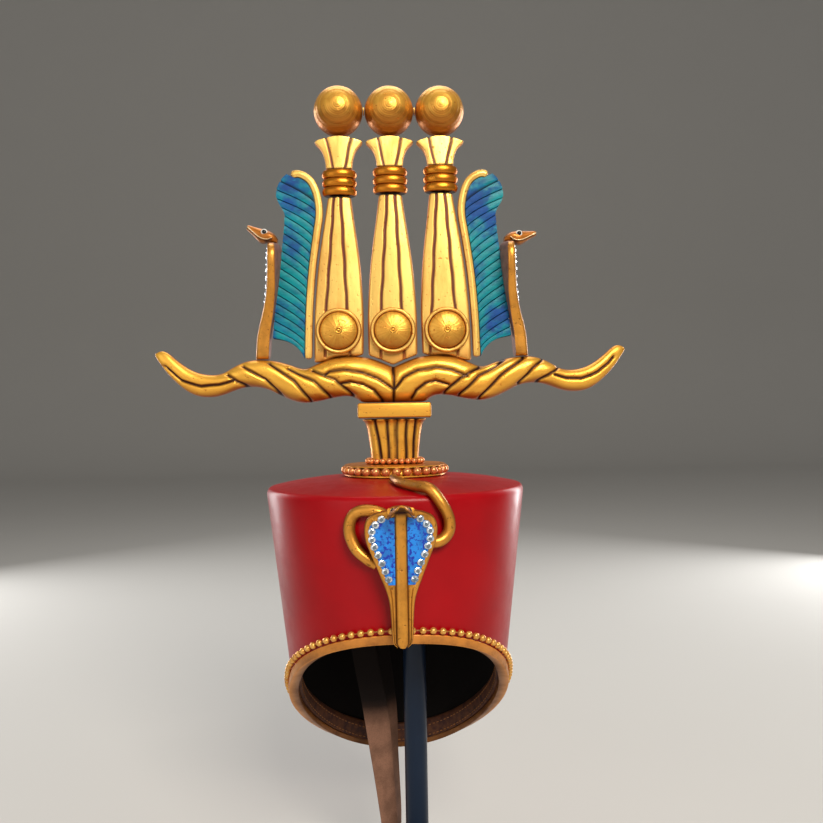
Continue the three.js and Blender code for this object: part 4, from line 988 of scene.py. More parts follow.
def cap_rings():
    flat = TOP_RADIUS - CAP_EDGE
    rings = [top_ring(flat * share, 0) for share in (0.02, 0.15, 0.3, 0.45, 0.6, 0.72, 0.83, 0.92, 1)]
    shoulder = TOP + dome_rise(flat)
    for step in range(1, 6):
        turn = math.pi / 2 * step / 6
        ring = []
        for angle in turns(ROUND):
            x, y, z = cap_point(angle, CAP_EDGE, 0)
            near_x, near_y = flat * math.sin(angle), -flat * math.cos(angle)
            out, down = math.sin(turn), 1 - math.cos(turn)
            ring.append((near_x + (x - near_x) * out, near_y + (y - near_y) * out,
                         shoulder + (z - shoulder) * down))
        rings.append(ring)
    rings += [wall_ring(step / 14, 0) for step in range(15)]
    rings += [wall_ring(1, 0.4, 0.15), wall_ring(1, WALL - 0.4, 0.15)]
    rings += [wall_ring(1 - step / 8, WALL) for step in range(9)]
    inner = TOP_RADIUS - WALL
    rings += [top_ring(inner * share, WALL) for share in (0.95, 0.8, 0.6, 0.4, 0.2, 0.02)]
    return rings


class HEADDRESS_OT_cap(bpy.types.Operator):
    """Skin the cap: domed top, rounded edge, tapering wall and a near-black lining, painted shade for the inside of
    the cap
    """

    bl_idname = "headdress.cap"
    bl_label = "Cap"
    bl_options = {"REGISTER", "UNDO"}

    def execute(self, context):
        cap = skin("cap", cap_rings(), smooth=50)
        handed(cap, "cap", ["cap_shell"], finish("cap"), finish("lining"))
        for face in cap.data.polygons:
            x, y, z = face.center / MM
            radius = math.hypot(x, y)
            wide, deep = cap_half(TOP - z)
            inside = math.hypot(x / (wide - WALL / 2), y / (deep - WALL / 2)) < 1
            under = z < TOP + dome_rise(radius) - WALL / 2
            if inside and under:
                face.material_index = 1
        return {"FINISHED"}


def rim_band(name, section):
    """A band round the rim from a section of inset and height above the rim's lowest edge."""
    rings = [
        [cap_point(angle, rim_drop(angle) - rise, inset) for inset, rise in section] for angle in turns(ROUND)
    ]
    return skin(name, rings, True, 50)


def rises(obj):
    """Height of a piece's points above the rim's lowest edge, and their inset from the cap's outside."""
    spots = coordinates(obj)
    found = []
    for x, y, z in spots:
        wide, deep = cap_half(TOP - z)
        angle = math.atan2(x / wide, -y / deep)
        out = math.hypot(x / wide, y / deep)
        found.append((z - TOP + rim_drop(angle), (1 - out) * (wide + deep) / 2))
    return np.array(found)


class HEADDRESS_OT_rim(bpy.types.Operator):
    """Fold the trim over the rim, line it with a stitched band and string beads above it"""

    bl_idname = "headdress.rim"
    bl_label = "Rim"
    bl_options = {"REGISTER", "UNDO"}

    def execute(self, context):
        outside, inside = -GAP - TRIM_THICK, WALL + GAP + TRIM_THICK
        section = rounded(
            [(outside, 0), (outside, TRIM_TALL), (-GAP, TRIM_TALL), (-GAP, TRIM_THICK),
             (WALL + GAP, TRIM_THICK), (WALL + GAP, TRIM_INNER), (inside, TRIM_INNER), (inside, 0)], 0.8, 3)
        trim = rim_band("rim_trim", section)
        found = rises(trim)
        upper = np.clip((found[:, 0] - TRIM_TALL + 1.2) / 1.2, 0, 1) * (found[:, 1] < 0)
        lower = np.clip((1.0 - found[:, 0]) / 1.0, 0, 1) * (found[:, 1] < 0) * 0.6
        painted(trim, "rubbed", np.maximum(upper, lower))
        # Painted shade: over the back of its fold and on its inner side the trim turns towards the band colour.
        painted(trim, "groove", np.clip((found[:, 1] - 1.5) / 1.5, 0, 1) * 0.6)
        handed(trim, "trim", ["brim_trim"], finish("trim"))

        low, near = TRIM_INNER + GAP, WALL + GAP
        section = rounded(
            [(near, low), (near, low + BAND_TALL), (near + BAND_THICK * 0.6, low + BAND_TALL),
             (near + BAND_THICK, low + BAND_TALL * 0.75), (near + BAND_THICK, low)], 0.8, 3)
        band = rim_band("inner_band", section)
        band.data.materials.append(finish("band"))
        stitches = self.stitches(near + BAND_THICK, low)
        stitches.data.materials.append(finish("thread"))
        handed(joined("inner_band", band, stitches), "sweatband", ["sweatband"])

        path = [
            cap_point(angle, rim_drop(angle) - BRIM_RISE, BRIM_INSET) for angle in turns(ROUND * 3)
        ]
        beads = bead_string("brim_bead_string", path, sizes().brim_bead, sizes().brim_pitch)
        beads.data.materials.append(finish("brim_bead"))
        string = tube("string", path[::3], [0.45] * ROUND, 6, True)
        string.data.materials.append(finish("thread"))
        handed(joined("brim_bead_string", beads, string), "brim_beads", ["brim_beads"])
        return {"FINISHED"}

    def stitches(self, inset, low):
        """Two rows of stitches in the inner band."""
        places = []
        long = in_mm(sizes().stitch)
        for rise in (low + 2.4, low + BAND_TALL * 0.68):
            path = [cap_point(angle, rim_drop(angle) - rise, inset + 0.05) for angle in turns(ROUND * 3)]
            for spot, run in evenly(path, long * 1.7):
                turn = run.to_track_quat("Z", "Y").to_matrix().to_4x4()
                places.append(Matrix.Translation(spot * MM) @ turn)
        profile = [(0.1, -long / 2), (0.3, -long * 0.42), (0.38, 0), (0.3, long * 0.42), (0.1, long / 2)]
        return scattered("stitches", turned("stitch", profile, 6), places)


def groove_profile():
    """The plaque's profile, with a round seat in its edge for the beads."""
    middle, seat = PLAQUE_BASE + PLAQUE_THICK / 2, 3.4
    top = PLAQUE_BASE + PLAQUE_THICK
    profile = [(0.5, TOP + DOME_RISE + GAP), (20, TOP + dome_rise(20) + GAP), (38.6, TOP + dome_rise(38.6) + GAP),
               (PLAQUE_RADIUS, TOP + dome_rise(PLAQUE_RADIUS) + GAP + 0.5), (PLAQUE_RADIUS, middle - 3.1)]
    for step in range(-5, 6):
        turn = math.radians(step * 15)
        profile.append((PLAQUE_STRING - seat * math.cos(turn), middle + seat * math.sin(turn)))
    profile += [(PLAQUE_RADIUS, middle + 3.1), (PLAQUE_RADIUS - 0.3, top - 0.4), (PLAQUE_RADIUS - 1, top),
                (PLAQUE_RADIUS - 3.6, top), (PLAQUE_RADIUS - 4.2, top - 0.35), (PLAQUE_RADIUS - 4.8, top),
                (20, top), (0.5, top)]
    return profile


class HEADDRESS_OT_plaque(bpy.types.Operator):
    """Turn the round plaque and set its beads"""

    bl_idname = "headdress.plaque"
    bl_label = "Plaque"
    bl_options = {"REGISTER", "UNDO"}

    def execute(self, context):
        plaque = turned("round_plaque", groove_profile(), 96)
        painted(plaque, "groove", [0.0] * len(plaque.data.vertices))
        handed(plaque, "gold", ["plaque"], finish("gold"))
        height = PLAQUE_BASE + PLAQUE_THICK / 2
        path = [
            (PLAQUE_STRING * math.sin(turn), -PLAQUE_STRING * math.cos(turn), height) for turn in turns(360)
        ]
        beads = bead_string(
            "plaque_bead_string", path, sizes().plaque_bead, sizes().plaque_pitch)
        handed(beads, "copper_beads", ["plaque_beads"], finish("copper_bead"))
        return {"FINISHED"}


def stem_point(angle, half, height, grow=0.0, power=0.7):
    wide, deep = squarer(math.sin(angle), power), squarer(math.cos(angle), power)
    return (half + grow) * wide, -(half * STEM_DEPTH + grow) * deep, height


class HEADDRESS_OT_stem(bpy.types.Operator):
    """Draw up the fluted stem, string beads round its foot and set the block on it"""

    bl_idname = "headdress.stem"
    bl_label = "Stem and Block"
    bl_options = {"REGISTER", "UNDO"}

    def execute(self, context):
        rings = []
        for step in range(25):
            share = step / 24
            half = STEM_LOW_HALF + (STEM_HIGH_HALF - STEM_LOW_HALF) * along(STEM_ROWS, share, 1)
            rings.append([stem_point(turn, half, STEM_BASE + share * STEM_TALL) for turn in turns(72)])
        stem = subdivided(skin("fluted_stem", rings), 1)
        lines = [[(x, z + TOP) for x, z in line] for line in STEM_GROOVES]
        carved(stem, lines, in_mm(sizes().groove_width) * 1.2, in_mm(sizes().groove_depth), 3)
        handed(stem, "gold", ["stem"], finish("gold"))

        radius = in_mm(sizes().stem_bead) / 2
        path = [
            stem_point(turn, STEM_LOW_HALF, STEM_BASE + radius, GAP + radius) for turn in turns(360)
        ]
        beads = bead_string("stem_bead_string", path, sizes().stem_bead, sizes().stem_pitch)
        handed(beads, "copper_beads", ["stem_beads"], finish("copper_bead"))

        wide, deep, tall = BLOCK_SIZE
        deselect()
        bpy.ops.mesh.primitive_cube_add(size=1, location=(0, 0, (BLOCK_BASE + tall / 2) * MM),
                                        scale=(wide * MM, deep * MM, tall * MM))
        block = bpy.context.object
        bpy.ops.object.transform_apply(location=True, rotation=True, scale=True)
        bpy.ops.object.mode_set(mode="EDIT")
        bpy.ops.mesh.select_all(action="SELECT")
        bpy.ops.mesh.bevel(offset=1.6 * MM, segments=4, affect="EDGES")
        bpy.ops.mesh.select_all(action="SELECT")
        bpy.ops.mesh.normals_make_consistent(inside=False)
        bpy.ops.object.mode_set(mode="OBJECT")
        block.name = block.data.name = "block"
        smoothed(block, 40)
        painted(block, "groove", [0.0] * len(block.data.vertices))
        handed(block, "gold", ["stem_block"], finish("gold"))
        return {"FINISHED"}


class HEADDRESS_OT_horns(bpy.types.Operator):
    """Draw the pair of horns from tip to tip and carve their twist"""

    bl_idname = "headdress.horns"
    bl_label = "Horns"
    bl_options = {"REGISTER", "UNDO"}

    def execute(self, context):
        rings = []
        count = 124
        for step in range(count + 1):
            out = -1 + 2 * step / count
            share = abs(out)
            top = HORN_BASE + HORN_TALL * along(HORN_ROWS, share, 1)
            low = HORN_BASE + HORN_TALL * along(HORN_ROWS, share, 2)
            deep = HORN_DEEP * along(HORN_ROWS, share, 3)
            middle, tall = (top + low) / 2, (top - low) / 2
            rings.append([
                (out * HORN_SPAN, deep * squarer(math.sin(turn), 0.85), middle + tall * squarer(math.cos(turn), 0.95))
                for turn in turns(24)
            ])
        horns = subdivided(skin("pair_of_horns", rings), 2)
        lines = [[(x, z + TOP) for x, z in line] for line in HORN_GROOVES]
        carved(horns, lines, in_mm(sizes().groove_width), in_mm(sizes().groove_depth), 5)
        spots, marks = coordinates(horns), np.empty(len(horns.data.vertices))
        normals = np.empty(len(spots) * 3)
        horns.data.vertices.foreach_get("normal", normals)
        horns.data.attributes["groove"].data.foreach_get("value", marks)
        # Painted shade on the horns' upper faces in the middle, where the bottles stand on them.
        upper = np.clip((normals[2::3] - 0.7) / 0.25, 0, 1) * np.clip((78 - np.abs(spots[:, 0])) / 10, 0, 1)
        painted(horns, "groove", np.maximum(marks, upper * 0.6))
        handed(horns, "gold", ["horns"], finish("gold"))
        return {"FINISHED"}


def plate_section(half, thick, edge, crown, count):
    """Section of a plate with rounded edges and a slightly crowned front and back."""
    inner = half - edge
    quarter = []
    for step in range(count // 2 + 1):
        share = step / (count // 2)
        quarter.append((inner * share, thick / 2 - crown * share * share))
    corner = thick / 2 - crown - edge
    for turn in (65, 40, 15):
        turn = math.radians(turn)
        quarter.append((inner + edge * math.cos(turn), corner + edge * math.sin(turn)))
    right = [(x, -y) for x, y in quarter] + [(x, y) for x, y in reversed(quarter)]
    left = [(-x, y) for x, y in reversed(right)][1:-1]
    return right + left


def bottle_half(share):
    return BOTTLE_HALF * along(BOTTLE_ROWS, share, 1)


class HEADDRESS_OT_columns(bpy.types.Operator):
    """Build the three columns: striped bottle, disc, collar, flare and ball"""

    bl_idname = "headdress.columns"
    bl_label = "Columns"
    bl_options = {"REGISTER", "UNDO"}

    def execute(self, context):
        width, depth = in_mm(sizes().groove_width), in_mm(sizes().groove_depth)
        rim, dome, ball = self.rim(), self.dome(), self.ball()
        collar = self.collar()
        for name, side, lift in COLUMNS:
            x, top = side * COLUMN_PITCH, BOTTLE_TOP + lift
            bottle = subdivided(skin("bottle_of_" + name, self.bottle_rings(side, top)), 2)
            lines = [[(px, pz + TOP) for px, pz in line] for line in BOTTLE_STRIPES[name]]
            carved(bottle, lines, width * 0.95, depth)
            self.paint_edge_shade(bottle, side, top)
            handed(bottle, "pale_gold", ["bottle_" + name], finish("pale"))

            disc = Matrix.Translation(
                Vector((side * BOTTLE_PITCH, -BOTTLE_THICK / 2 - GAP, DISC_LEVEL)) * MM)
            handed(copied(rim, "disc_rim_of_" + name, disc), "pale_gold", ["disc_rim_" + name],
                   finish("pale"))
            handed(copied(dome, "disc_dome_of_" + name, disc), "bright_gold", ["disc_dome_" + name],
                   finish("bright"))
            base = top + GAP
            handed(copied(collar, "collar_of_" + name, Matrix.Translation(Vector((x, 0, base)) * MM)),
                   "copper", ["collar_" + name], finish("copper"))
            foot = base + COLLAR_TALL + GAP
            flare = subdivided(skin("flare_of_" + name, self.flare_rings(x, foot)), 1)
            lines = [[(x + px, foot + pz - 6) for px, pz in line] for line in FLARE_STRIPES]
            carved(flare, lines, width * 0.8, depth * 0.7)
            handed(flare, "pale_gold", ["flare_" + name], finish("pale"))
            handed(copied(ball, "ball_of_" + name, Matrix.Translation(Vector((x, 0, BALL_LEVEL)) * MM)),
                   "bright_gold", ["ball_" + name], finish("bright"))
        for model in (rim, dome, ball, collar):
            removed(model)
        for name in ("ball_joint_left", "ball_joint_right"):
            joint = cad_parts[name]
            joint.data.materials.clear()
            joint.data.materials.append(finish("bright"))
        return {"FINISHED"}

    def bottle_rings(self, side, top):
        low = HORN_BASE + HORN_TALL
        rings = []
        for step in range(43):
            share = step / 42
            height = low + share * (top - low)
            way = (height - DISC_LEVEL) / (BOTTLE_TOP - DISC_LEVEL)
            middle = side * (BOTTLE_PITCH + (COLUMN_PITCH - BOTTLE_PITCH) * way)
            ring = []
            for across, out in plate_section(bottle_half(share), BOTTLE_THICK, 2.6, 0.8, 14):
                x = middle + across
                foot = horn_top(x) + GAP
                ring.append((x, out, foot + share * (top - foot)))
            rings.append(ring)
        return rings

    def paint_edge_shade(self, bottle, side, top):
        """Marks the bottle's edges and its foot on the horns for painted shade in a deeper gold."""
        low = HORN_BASE + HORN_TALL
        marks = []
        for x, _, z in coordinates(bottle):
            way = (z - DISC_LEVEL) / (BOTTLE_TOP - DISC_LEVEL)
            middle = side * (BOTTLE_PITCH + (COLUMN_PITCH - BOTTLE_PITCH) * way)
            inward = bottle_half(clamp((z - low) / (top - low))) - abs(x - middle)
            marks.append(max(clamp(1 - (inward - 0.4) / 1.5), clamp((low + 2 - z) / 9) * 0.7))
        painted(bottle, "painted_edge_shade", marks)

    def flare_rings(self, x, foot):
        rings = []
        for step in range(21):
            share = step / 20
            half = FLARE_LOW_HALF + (FLARE_HIGH_HALF - FLARE_LOW_HALF) * along(FLARE_ROWS, share, 1)
            section = plate_section(half, FLARE_THICK, 1.4, 0.5, 20)
            ring = []
            for across, out in section:
                tip = FLARE_TOP - 4.2 * abs(across / FLARE_HIGH_HALF) ** 1.6
                ring.append((x + across, out, foot + share * (tip - foot)))
            rings.append(ring)
        return rings

    def rim(self):
        inner = DOME_RADIUS + GAP
        profile = rounded(
            [(inner, 0), (DISC_RADIUS, 0), (DISC_RADIUS, 3.6), (DISC_RADIUS - 0.7, 5.4), (DISC_RADIUS - 1.5, 6),
             (inner + 0.5, 5.5), (inner, 4.6)], 0.6, 3)
        obj = turned("rim", profile, 64, "Y", looped=True)
        painted(obj, "groove", [0.0] * len(obj.data.vertices))
        return obj

    def dome(self):
        profile = [(DOME_RADIUS - 0.4, 0), (DOME_RADIUS, 0.3), (DOME_RADIUS, 4.2)]
        for step in range(1, 24):
            share = step / 24
            radius = 2.9 + (DOME_RADIUS - 2.9) * (1 - share)
            profile.append((radius, self.dome_height(radius)))
        for radius, rise in ((2.75, 0.0), (2.5, 0.35), (2.1, 0.5), (1.7, 0.35), (1.45, 0.0), (1.2, -0.1),
                             (0.9, 0.3), (0.5, 0.5), (0.1, 0.52)):
            profile.append((radius, self.dome_height(radius) + rise))
        obj = turned("dome", profile, 96, "Y")
        painted(obj, "groove", [0.0] * len(obj.data.vertices))
        spots = coordinates(obj)
        angle = np.round(np.arctan2(spots[:, 2], spots[:, 0]) / (2 * math.pi) * 96)
        painted(obj, "brush", self.streaks(angle) * (np.hypot(spots[:, 0], spots[:, 2]) > 3))
        return obj

    def dome_height(self, radius):
        return 4.2 + 4.0 * (1 - (radius / DOME_RADIUS) ** 2) ** 0.62

    def streaks(self, index):
        """An uneven value for each brush stroke."""
        wave = np.sin(index * 12.9898) * 43758.5453
        return wave - np.floor(wave)

    def ball(self):
        ripple = in_mm(sizes().ripple)
        profile = []
        for step in range(101):
            turn = math.radians(1.5 + 177 * step / 100)
            wave = math.sin(step * 2.3) + 0.7 * math.sin(step * 0.83 + 1.0)
            reach = BALL_RADIUS - 0.1 + ripple * wave
            profile.append((reach * math.sin(turn), reach * math.cos(turn)))
        obj = turned("ball", profile, 64, "Y")
        painted(obj, "groove", [0.0] * len(obj.data.vertices))
        spots = coordinates(obj)
        angle = np.arccos(np.clip(-spots[:, 1] / BALL_RADIUS, -1, 1))
        painted(obj, "brush", self.streaks(np.round(angle / math.pi * 44)))
        return obj

    def collar(self):
        waist = COLLAR_HALF * 0.86
        roll = COLLAR_TALL / 3
        profile = [(1.0, 0), (waist - 0.4, 0)]
        for index in range(3):
            for step in range(9):
                share = (step + 0.5) / 9
                bulge = math.sin(math.pi * share) ** 0.55
                profile.append((waist + (COLLAR_HALF - waist) * bulge, (index + share) * roll))
            profile.append((waist - 0.5, (index + 1) * roll))
        profile.append((1.0, COLLAR_TALL))
        obj = turned("collar", profile, 56, squash=COLLAR_DEPTH, smooth=60)
        spots = coordinates(obj)
        reach = np.hypot(spots[:, 0], spots[:, 1] / COLLAR_DEPTH)
        # Painted shade in the narrow waists between the rolls.
        painted(obj, "groove", np.clip((waist + 0.25 - reach) / 0.5, 0, 1))
        return obj


def feather_point(row):
    return Vector((FEATHER_START + row[0] * FEATHER_REACH, HORN_BASE + row[1] * FEATHER_RISE))


def level_on(height, low, high, wanted):
    """Place on a rising line where it comes to a height."""
    for _ in range(24):
        middle = (low + high) / 2
        if height(middle) < wanted:
            low = middle
        else:
            high = middle
    return (low + high) / 2


def quill_spot(share):
    """A point of the quill's middle line, clear of the bottle, and the direction to its outer side."""
    points = [feather_point(row) for row in QUILL_LINE]
    here = Vector(through(points, share))
    run = Vector(through(points, min(share + 0.01, 1))) - Vector(through(points, max(share - 0.01, 0)))
    run.normalize()
    low, high = HORN_BASE + HORN_TALL, BOTTLE_TOP
    up = clamp((here.y - low) / (high - low))
    way = (here.y - DISC_LEVEL) / (BOTTLE_TOP - DISC_LEVEL)
    edge = BOTTLE_PITCH + (COLUMN_PITCH - BOTTLE_PITCH) * way + bottle_half(up)
    here.x = max(here.x, edge + QUILL_WIDE / 2 + GAP)
    return here, Vector((run.y, -run.x))


class HEADDRESS_OT_feathers(bpy.types.Operator):
    """Bend the two quills and lay the barbs against them"""

    bl_idname = "headdress.feathers"
    bl_label = "Feathers"
    bl_options = {"REGISTER", "UNDO"}

    def execute(self, context):
        mirror = Matrix.Scale(-1, 4, (1, 0, 0))
        quill = self.quill()
        vane = self.vane()
        for name, matrix in (("left", mirror), ("right", None)):
            handed(copied(quill, "quill_of_" + name, matrix), "pale_gold", ["quill_" + name], finish("pale"))
            handed(copied(vane, "barbs_of_" + name, matrix), "feather", ["feather_" + name],
                   finish("feather"))
        removed(quill)
        removed(vane)
        return {"FINISHED"}

    def quill(self):
        rings = []
        count = 70
        for step in range(count + 1):
            share = step / count
            here, outer = quill_spot(share)
            end = 1 - 0.55 * ease((share - 0.955) / 0.045)
            section = plate_section(QUILL_WIDE / 2 * end, QUILL_THICK * (0.75 + 0.25 * end), 1.3, 0.5, 6)
            rings.append([
                (here.x + outer.x * across, out, here.y + outer.y * across) for across, out in section
            ])
        quill = subdivided(skin("quill", rings), 1)
        painted(quill, "groove", [0.0] * len(quill.data.vertices))
        return quill

    def vane(self):
        """The barbs, rising outwards from the quill, with a dark line between two."""
        barbs = sizes().barbs
        steps = ((0.0, 0.9), (0.08, 0.2), (0.25, 0.02), (0.5, 0.0), (0.75, 0.02), (0.92, 0.2))
        rings, marks = [], []
        for barb in range(barbs):
            for share, sink in steps:
                rings.append(self.barb_ring((barb + share) / barbs, sink))
                marks.append(1.0 if share == 0.0 else 0.0)
        for step in range(10):
            rings.append(self.barb_ring(1 + step / 9, 0.9 * max(1 - step, 0)))
            marks.append(1.0 if step == 0 else 0.0)
        folded = [[(x, 0.0, z) for x, _, z in rings[end]] for end in (0, -1)]
        vane = skin("vane", [folded[0], *rings, folded[1]], smooth=35, merged=True)
        spots = coordinates(vane)
        lines = [[(x, z) for x, y, z in ring[: BARB_STEPS + 1]] for ring, mark in zip(rings, marks) if mark]
        near = away_from(lines, spots[:, [0, 2]])
        painted(vane, "groove", np.clip((0.3 - near) / 0.2, 0, 1))
        return vane

    def barb_ring(self, share, sink):
        """Section along a barb: up to 1 from the lowest to the highest, up to 2 round the tip."""
        edge = [feather_point(row) for row in FEATHER_EDGE]
        tip = clamp(share - 1)
        share = clamp(share)
        foot = level_on(lambda t: quill_spot(t)[0].y, 0.0, QUILL_BEND,
                        BARB_FEET[0] + (BARB_FEET[1] - BARB_FEET[0]) * share)
        end = level_on(lambda t: through(edge, t)[1], 0.0, 1.0,
                       BARB_ENDS[0] + (BARB_ENDS[1] - BARB_ENDS[0]) * share)
        near, outer = quill_spot(foot + (0.95 - foot) * tip)
        near = near + outer * (QUILL_WIDE / 2 + GAP)
        far = Vector(through(edge, end + (1 - end) * tip))
        way = far - near
        far -= way.normalized() * (0.7 if sink > 0.5 else 0.0)
        bow = way.length * (0.05 + 0.13 * max(1 - share * 14, 0)) * (1 - tip)
        front = []
        for step in range(BARB_STEPS + 1):
            part = step / BARB_STEPS
            spot = near + (far - near) * part
            front.append((spot.x, spot.y + bow * math.sin(math.pi * part ** 0.7)))
        half = FEATHER_THICK / 2 - sink
        return [(x, -half, z) for x, z in front] + [(x, half, z) for x, z in reversed(front)]


def hood_face(share, rib):
    """Front of a hood; those at the sides, which have a rib, lean further back."""
    return HOOD_PLATE + HOOD_LEAN * along(HOOD_ROWS, share, 2) - SIDE_LEAN * rib * ease((share - 0.15) / 0.45)


def hood_section(share, rib_share, lip):
    """Half of a hood's section from its middle over the front and round to its back."""
    half = HOOD_HALF * along(HOOD_ROWS, share, 1)
    face = hood_face(share, rib_share)
    back = face - HOOD_PLATE * along(HOOD_ROWS, share, 3)
    rib = HOOD_RIB * clamp(along(HOOD_ROWS, share, 4)) * rib_share
    ridge = min(RIDGE_HALF, half * 0.62)
    border = min(3.3, 0.5 * (half - ridge))
    top = lip * ease((share - 0.955) / 0.02)
    points = []
    for part in (0, 0.3, 0.55, 0.75, 0.9, 1):
        points.append((ridge * part, face + max(RIDGE_RISE * (1 - part**2.6) ** 0.6, top)))
    inner = half - border
    sunk = 0.45 * ease((0.5 - share) / 0.1)
    for part in (0.15, 0.5, 0.85):
        points.append((ridge + (inner - ridge) * part, face - sunk + top))
    points += [
        (inner, face + max(0.25 * lip, top)),
        (inner + border * 0.25, face + max(lip * 0.9, top)),
        (inner + border * 0.6, face + max(lip, top)),
        (inner + border * 0.85, face + max(lip, top) * 0.4),
        (half, face - 0.9),
        (half, back + 1.1),
        (half * 0.97, back + 0.3),
        (half * 0.9, back),
        (half * 0.6, back - rib * 0.5),
        (half * 0.33, back - rib * 0.95),
        (0, back - rib),
    ]
    return points


def head_size(out):
    low = HEAD_TALL * along(HEAD_ROWS, out, 1)
    high = HEAD_TALL * along(HEAD_ROWS, out, 2)
    return low, high, HEAD_HALF * along(HEAD_ROWS, out, 3)


def mouth_height(out):
    return HEAD_TALL * along(MOUTH_ROWS, out, 1)


def head_width(out, height):
    """Half width of the head at a height above its base."""
    low, high, half = head_size(out)
    middle, tall = (low + high) / 2, (high - low) / 2
    share = clamp((height - middle) / tall, -0.999, 0.999)
    power = 1.05 if share > 0 else 0.8
    return half * math.sqrt(max(1 - abs(share) ** (2 / power), 0.0))


class HEADDRESS_OT_cobras(bpy.types.Operator):
    """Shape the three rearing cobras: hood, head, blue fields and cut stones"""

    bl_idname = "headdress.cobras"
    bl_label = "Cobras"
    bl_options = {"REGISTER", "UNDO"}

    def execute(self, context):
        foot = SIDE_COBRA_X + HOOD_LEAN + HOOD_PLATE / 2
        for name, side in (("left", -1), ("right", 1)):
            turn = Matrix.Rotation(side * math.pi / 2, 4, "Z")
            place = Matrix.Translation(Vector((side * SIDE_COBRA_X, 0, horn_top(foot) + GAP)) * MM) @ turn
            self.cobra(name, 1.0, place, 0.30 if side < 0 else 0.02)
        tilt = Matrix.Rotation(FRONT_TILT, 4, "X")
        self.cobra("front", 0.0, Matrix.Translation(Vector((0, -FRONT_OUT, FRONT_FOOT)) * MM) @ tilt, 0.0)
        return {"FINISHED"}

    def cobra(self, name, rib, place, nod):
        hood = moved(self.hood(rib), place)
        hood.name = hood.data.name = name + "_hood"
        handed(hood, "cobra", [name + "_cobra_hood"])
        pivot = Vector((0, 0, HOOD_TALL)) * MM
        lifted = Matrix.Translation(pivot) @ Matrix.Rotation(-nod, 4, "X") @ Matrix.Translation(-pivot)
        head = moved(self.head(name == "front"), place @ lifted)
        head.name = head.data.name = name + "_head"
        handed(head, "cobra", [name + "_cobra_head"])
        for side, label in ((-1, "a"), (1, "b")):
            field = moved(self.inlay(side, rib), place)
            field.name = field.data.name = "%s_field_%s" % (name, label)
            handed(field, "inlay", ["%s_cobra_inlay_%s" % (name, label)], finish("inlay"))
            stones = moved(self.stones(side, rib), place)
            stones.name = stones.data.name = "%s_stones_%s" % (name, label)
            handed(stones, "stones", ["%s_cobra_stones_%s" % (name, label)], finish("stone"))

    def hood(self, rib):
        rings = []
        lip = in_mm(sizes().lip)
        for step in range(81):
            share = step / 80
            points = hood_section(share, rib, lip)
            right = [(x, -out, share * HOOD_TALL) for x, out in points]
            left = [(-x, y, z) for x, y, z in reversed(right)][1:-1]
            rings.append(right + left)
        hood = skin("hood", rings, smooth=45)
        spots = coordinates(hood)
        shares = np.clip(spots[:, 2] / HOOD_TALL, 0, 1)
        faces = np.array([hood_face(share, rib) for share in shares])
        out = -spots[:, 1] - faces
        half = np.array([HOOD_HALF * along(HOOD_ROWS, share, 1) for share in shares])
        ridge = np.minimum(RIDGE_HALF, half * 0.62)
        flank = np.clip(1 - np.abs(np.abs(spots[:, 0]) - ridge * 1.02) / 0.9, 0, 1) * (out > -0.6)
        # Painted shade on the ridge's top end, under the head.
        below = np.clip((shares - 0.955) / 0.03, 0, 1) * (np.abs(spots[:, 0]) < RIDGE_HALF) * (out > 0.5)
        painted(hood, "groove", np.maximum(flank * 0.8 * (out < RIDGE_RISE - 0.6), below))
        hood.data.materials.append(finish("bronze"))
        if rib > 0:
            hood.data.materials.append(finish("mauve"))
            for face in hood.data.polygons:
                x, y, z = face.center / MM
                share = clamp(z / HOOD_TALL)
                if -y < hood_face(share, rib) - HOOD_PLATE * along(HOOD_ROWS, share, 3) + 0.6:
                    face.material_index = 1
        return hood

    def head(self, front):
        """The head with its eyes: a closed one with a pale mouth line, or the front one's arched jaw."""
        base = HOOD_TALL + GAP
        rings = []
        for step in range(41):
            out = -0.064 + 1.064 * step / 40
            rings.append(self.arched(out, base) if front else self.closed(out, base))
        head = skin("head", rings, smooth=50)
        spots = coordinates(head)
        out = np.clip(-spots[:, 1] / HEAD_LONG, -0.064, 1)
        if front:
            crown = np.array([self.crown(x, share, base) for x, share in zip(spots[:, 0], out)])
            # Painted shade in the hollow under the front head's arched snout.
            dark = np.clip((crown - spots[:, 2] - 0.9) / 0.5, 0, 1) * (out > 0.38) * (np.abs(spots[:, 0]) < 7)
        else:
            mouth = np.array([mouth_height(share) for share in out])
            dark = np.clip(1 - np.abs(base + mouth - spots[:, 2] - 0.7) / 0.7, 0, 1) * (out > 0.12)
        painted(head, "groove", dark)
        head.data.materials.append(finish("bronze" if front else "snake"))
        parts = [head]
        if not front:
            parts.append(self.mouth_line(base))
        for side in (-1, 1):
            if front:
                x = side * 5.6
                centre = (x, -HEAD_LONG * 0.55, self.crown(x, 0.55, base) - 0.1)
                parts += self.eye(centre, side * 0.8, ((1.6, 0.4, 0.0, "white"), (1.5, 0.5, 0.3, "black")))
            else:
                centre = (side * (head_width(0.4, 5.6) - 0.5), -HEAD_LONG * 0.4, base + 5.8)
                parts += self.eye(centre, side * 1.45, ((2.6, 0.5, 0.0, "white"), (1.75, 0.7, 0.7, "black")))
        return joined("head", *parts)

    def closed(self, out, base):
        low, high, half = head_size(out)
        middle, tall = (low + high) / 2, (high - low) / 2
        ring = []
        for turn in turns(40):
            rise = math.cos(turn)
            z = middle + tall * squarer(rise, 1.05 if rise > 0 else 0.8)
            x = half * math.sin(turn) * (0.9 if z < mouth_height(out) - 0.3 else 1)
            ring.append((x, -HEAD_LONG * out, base + z))
        return ring

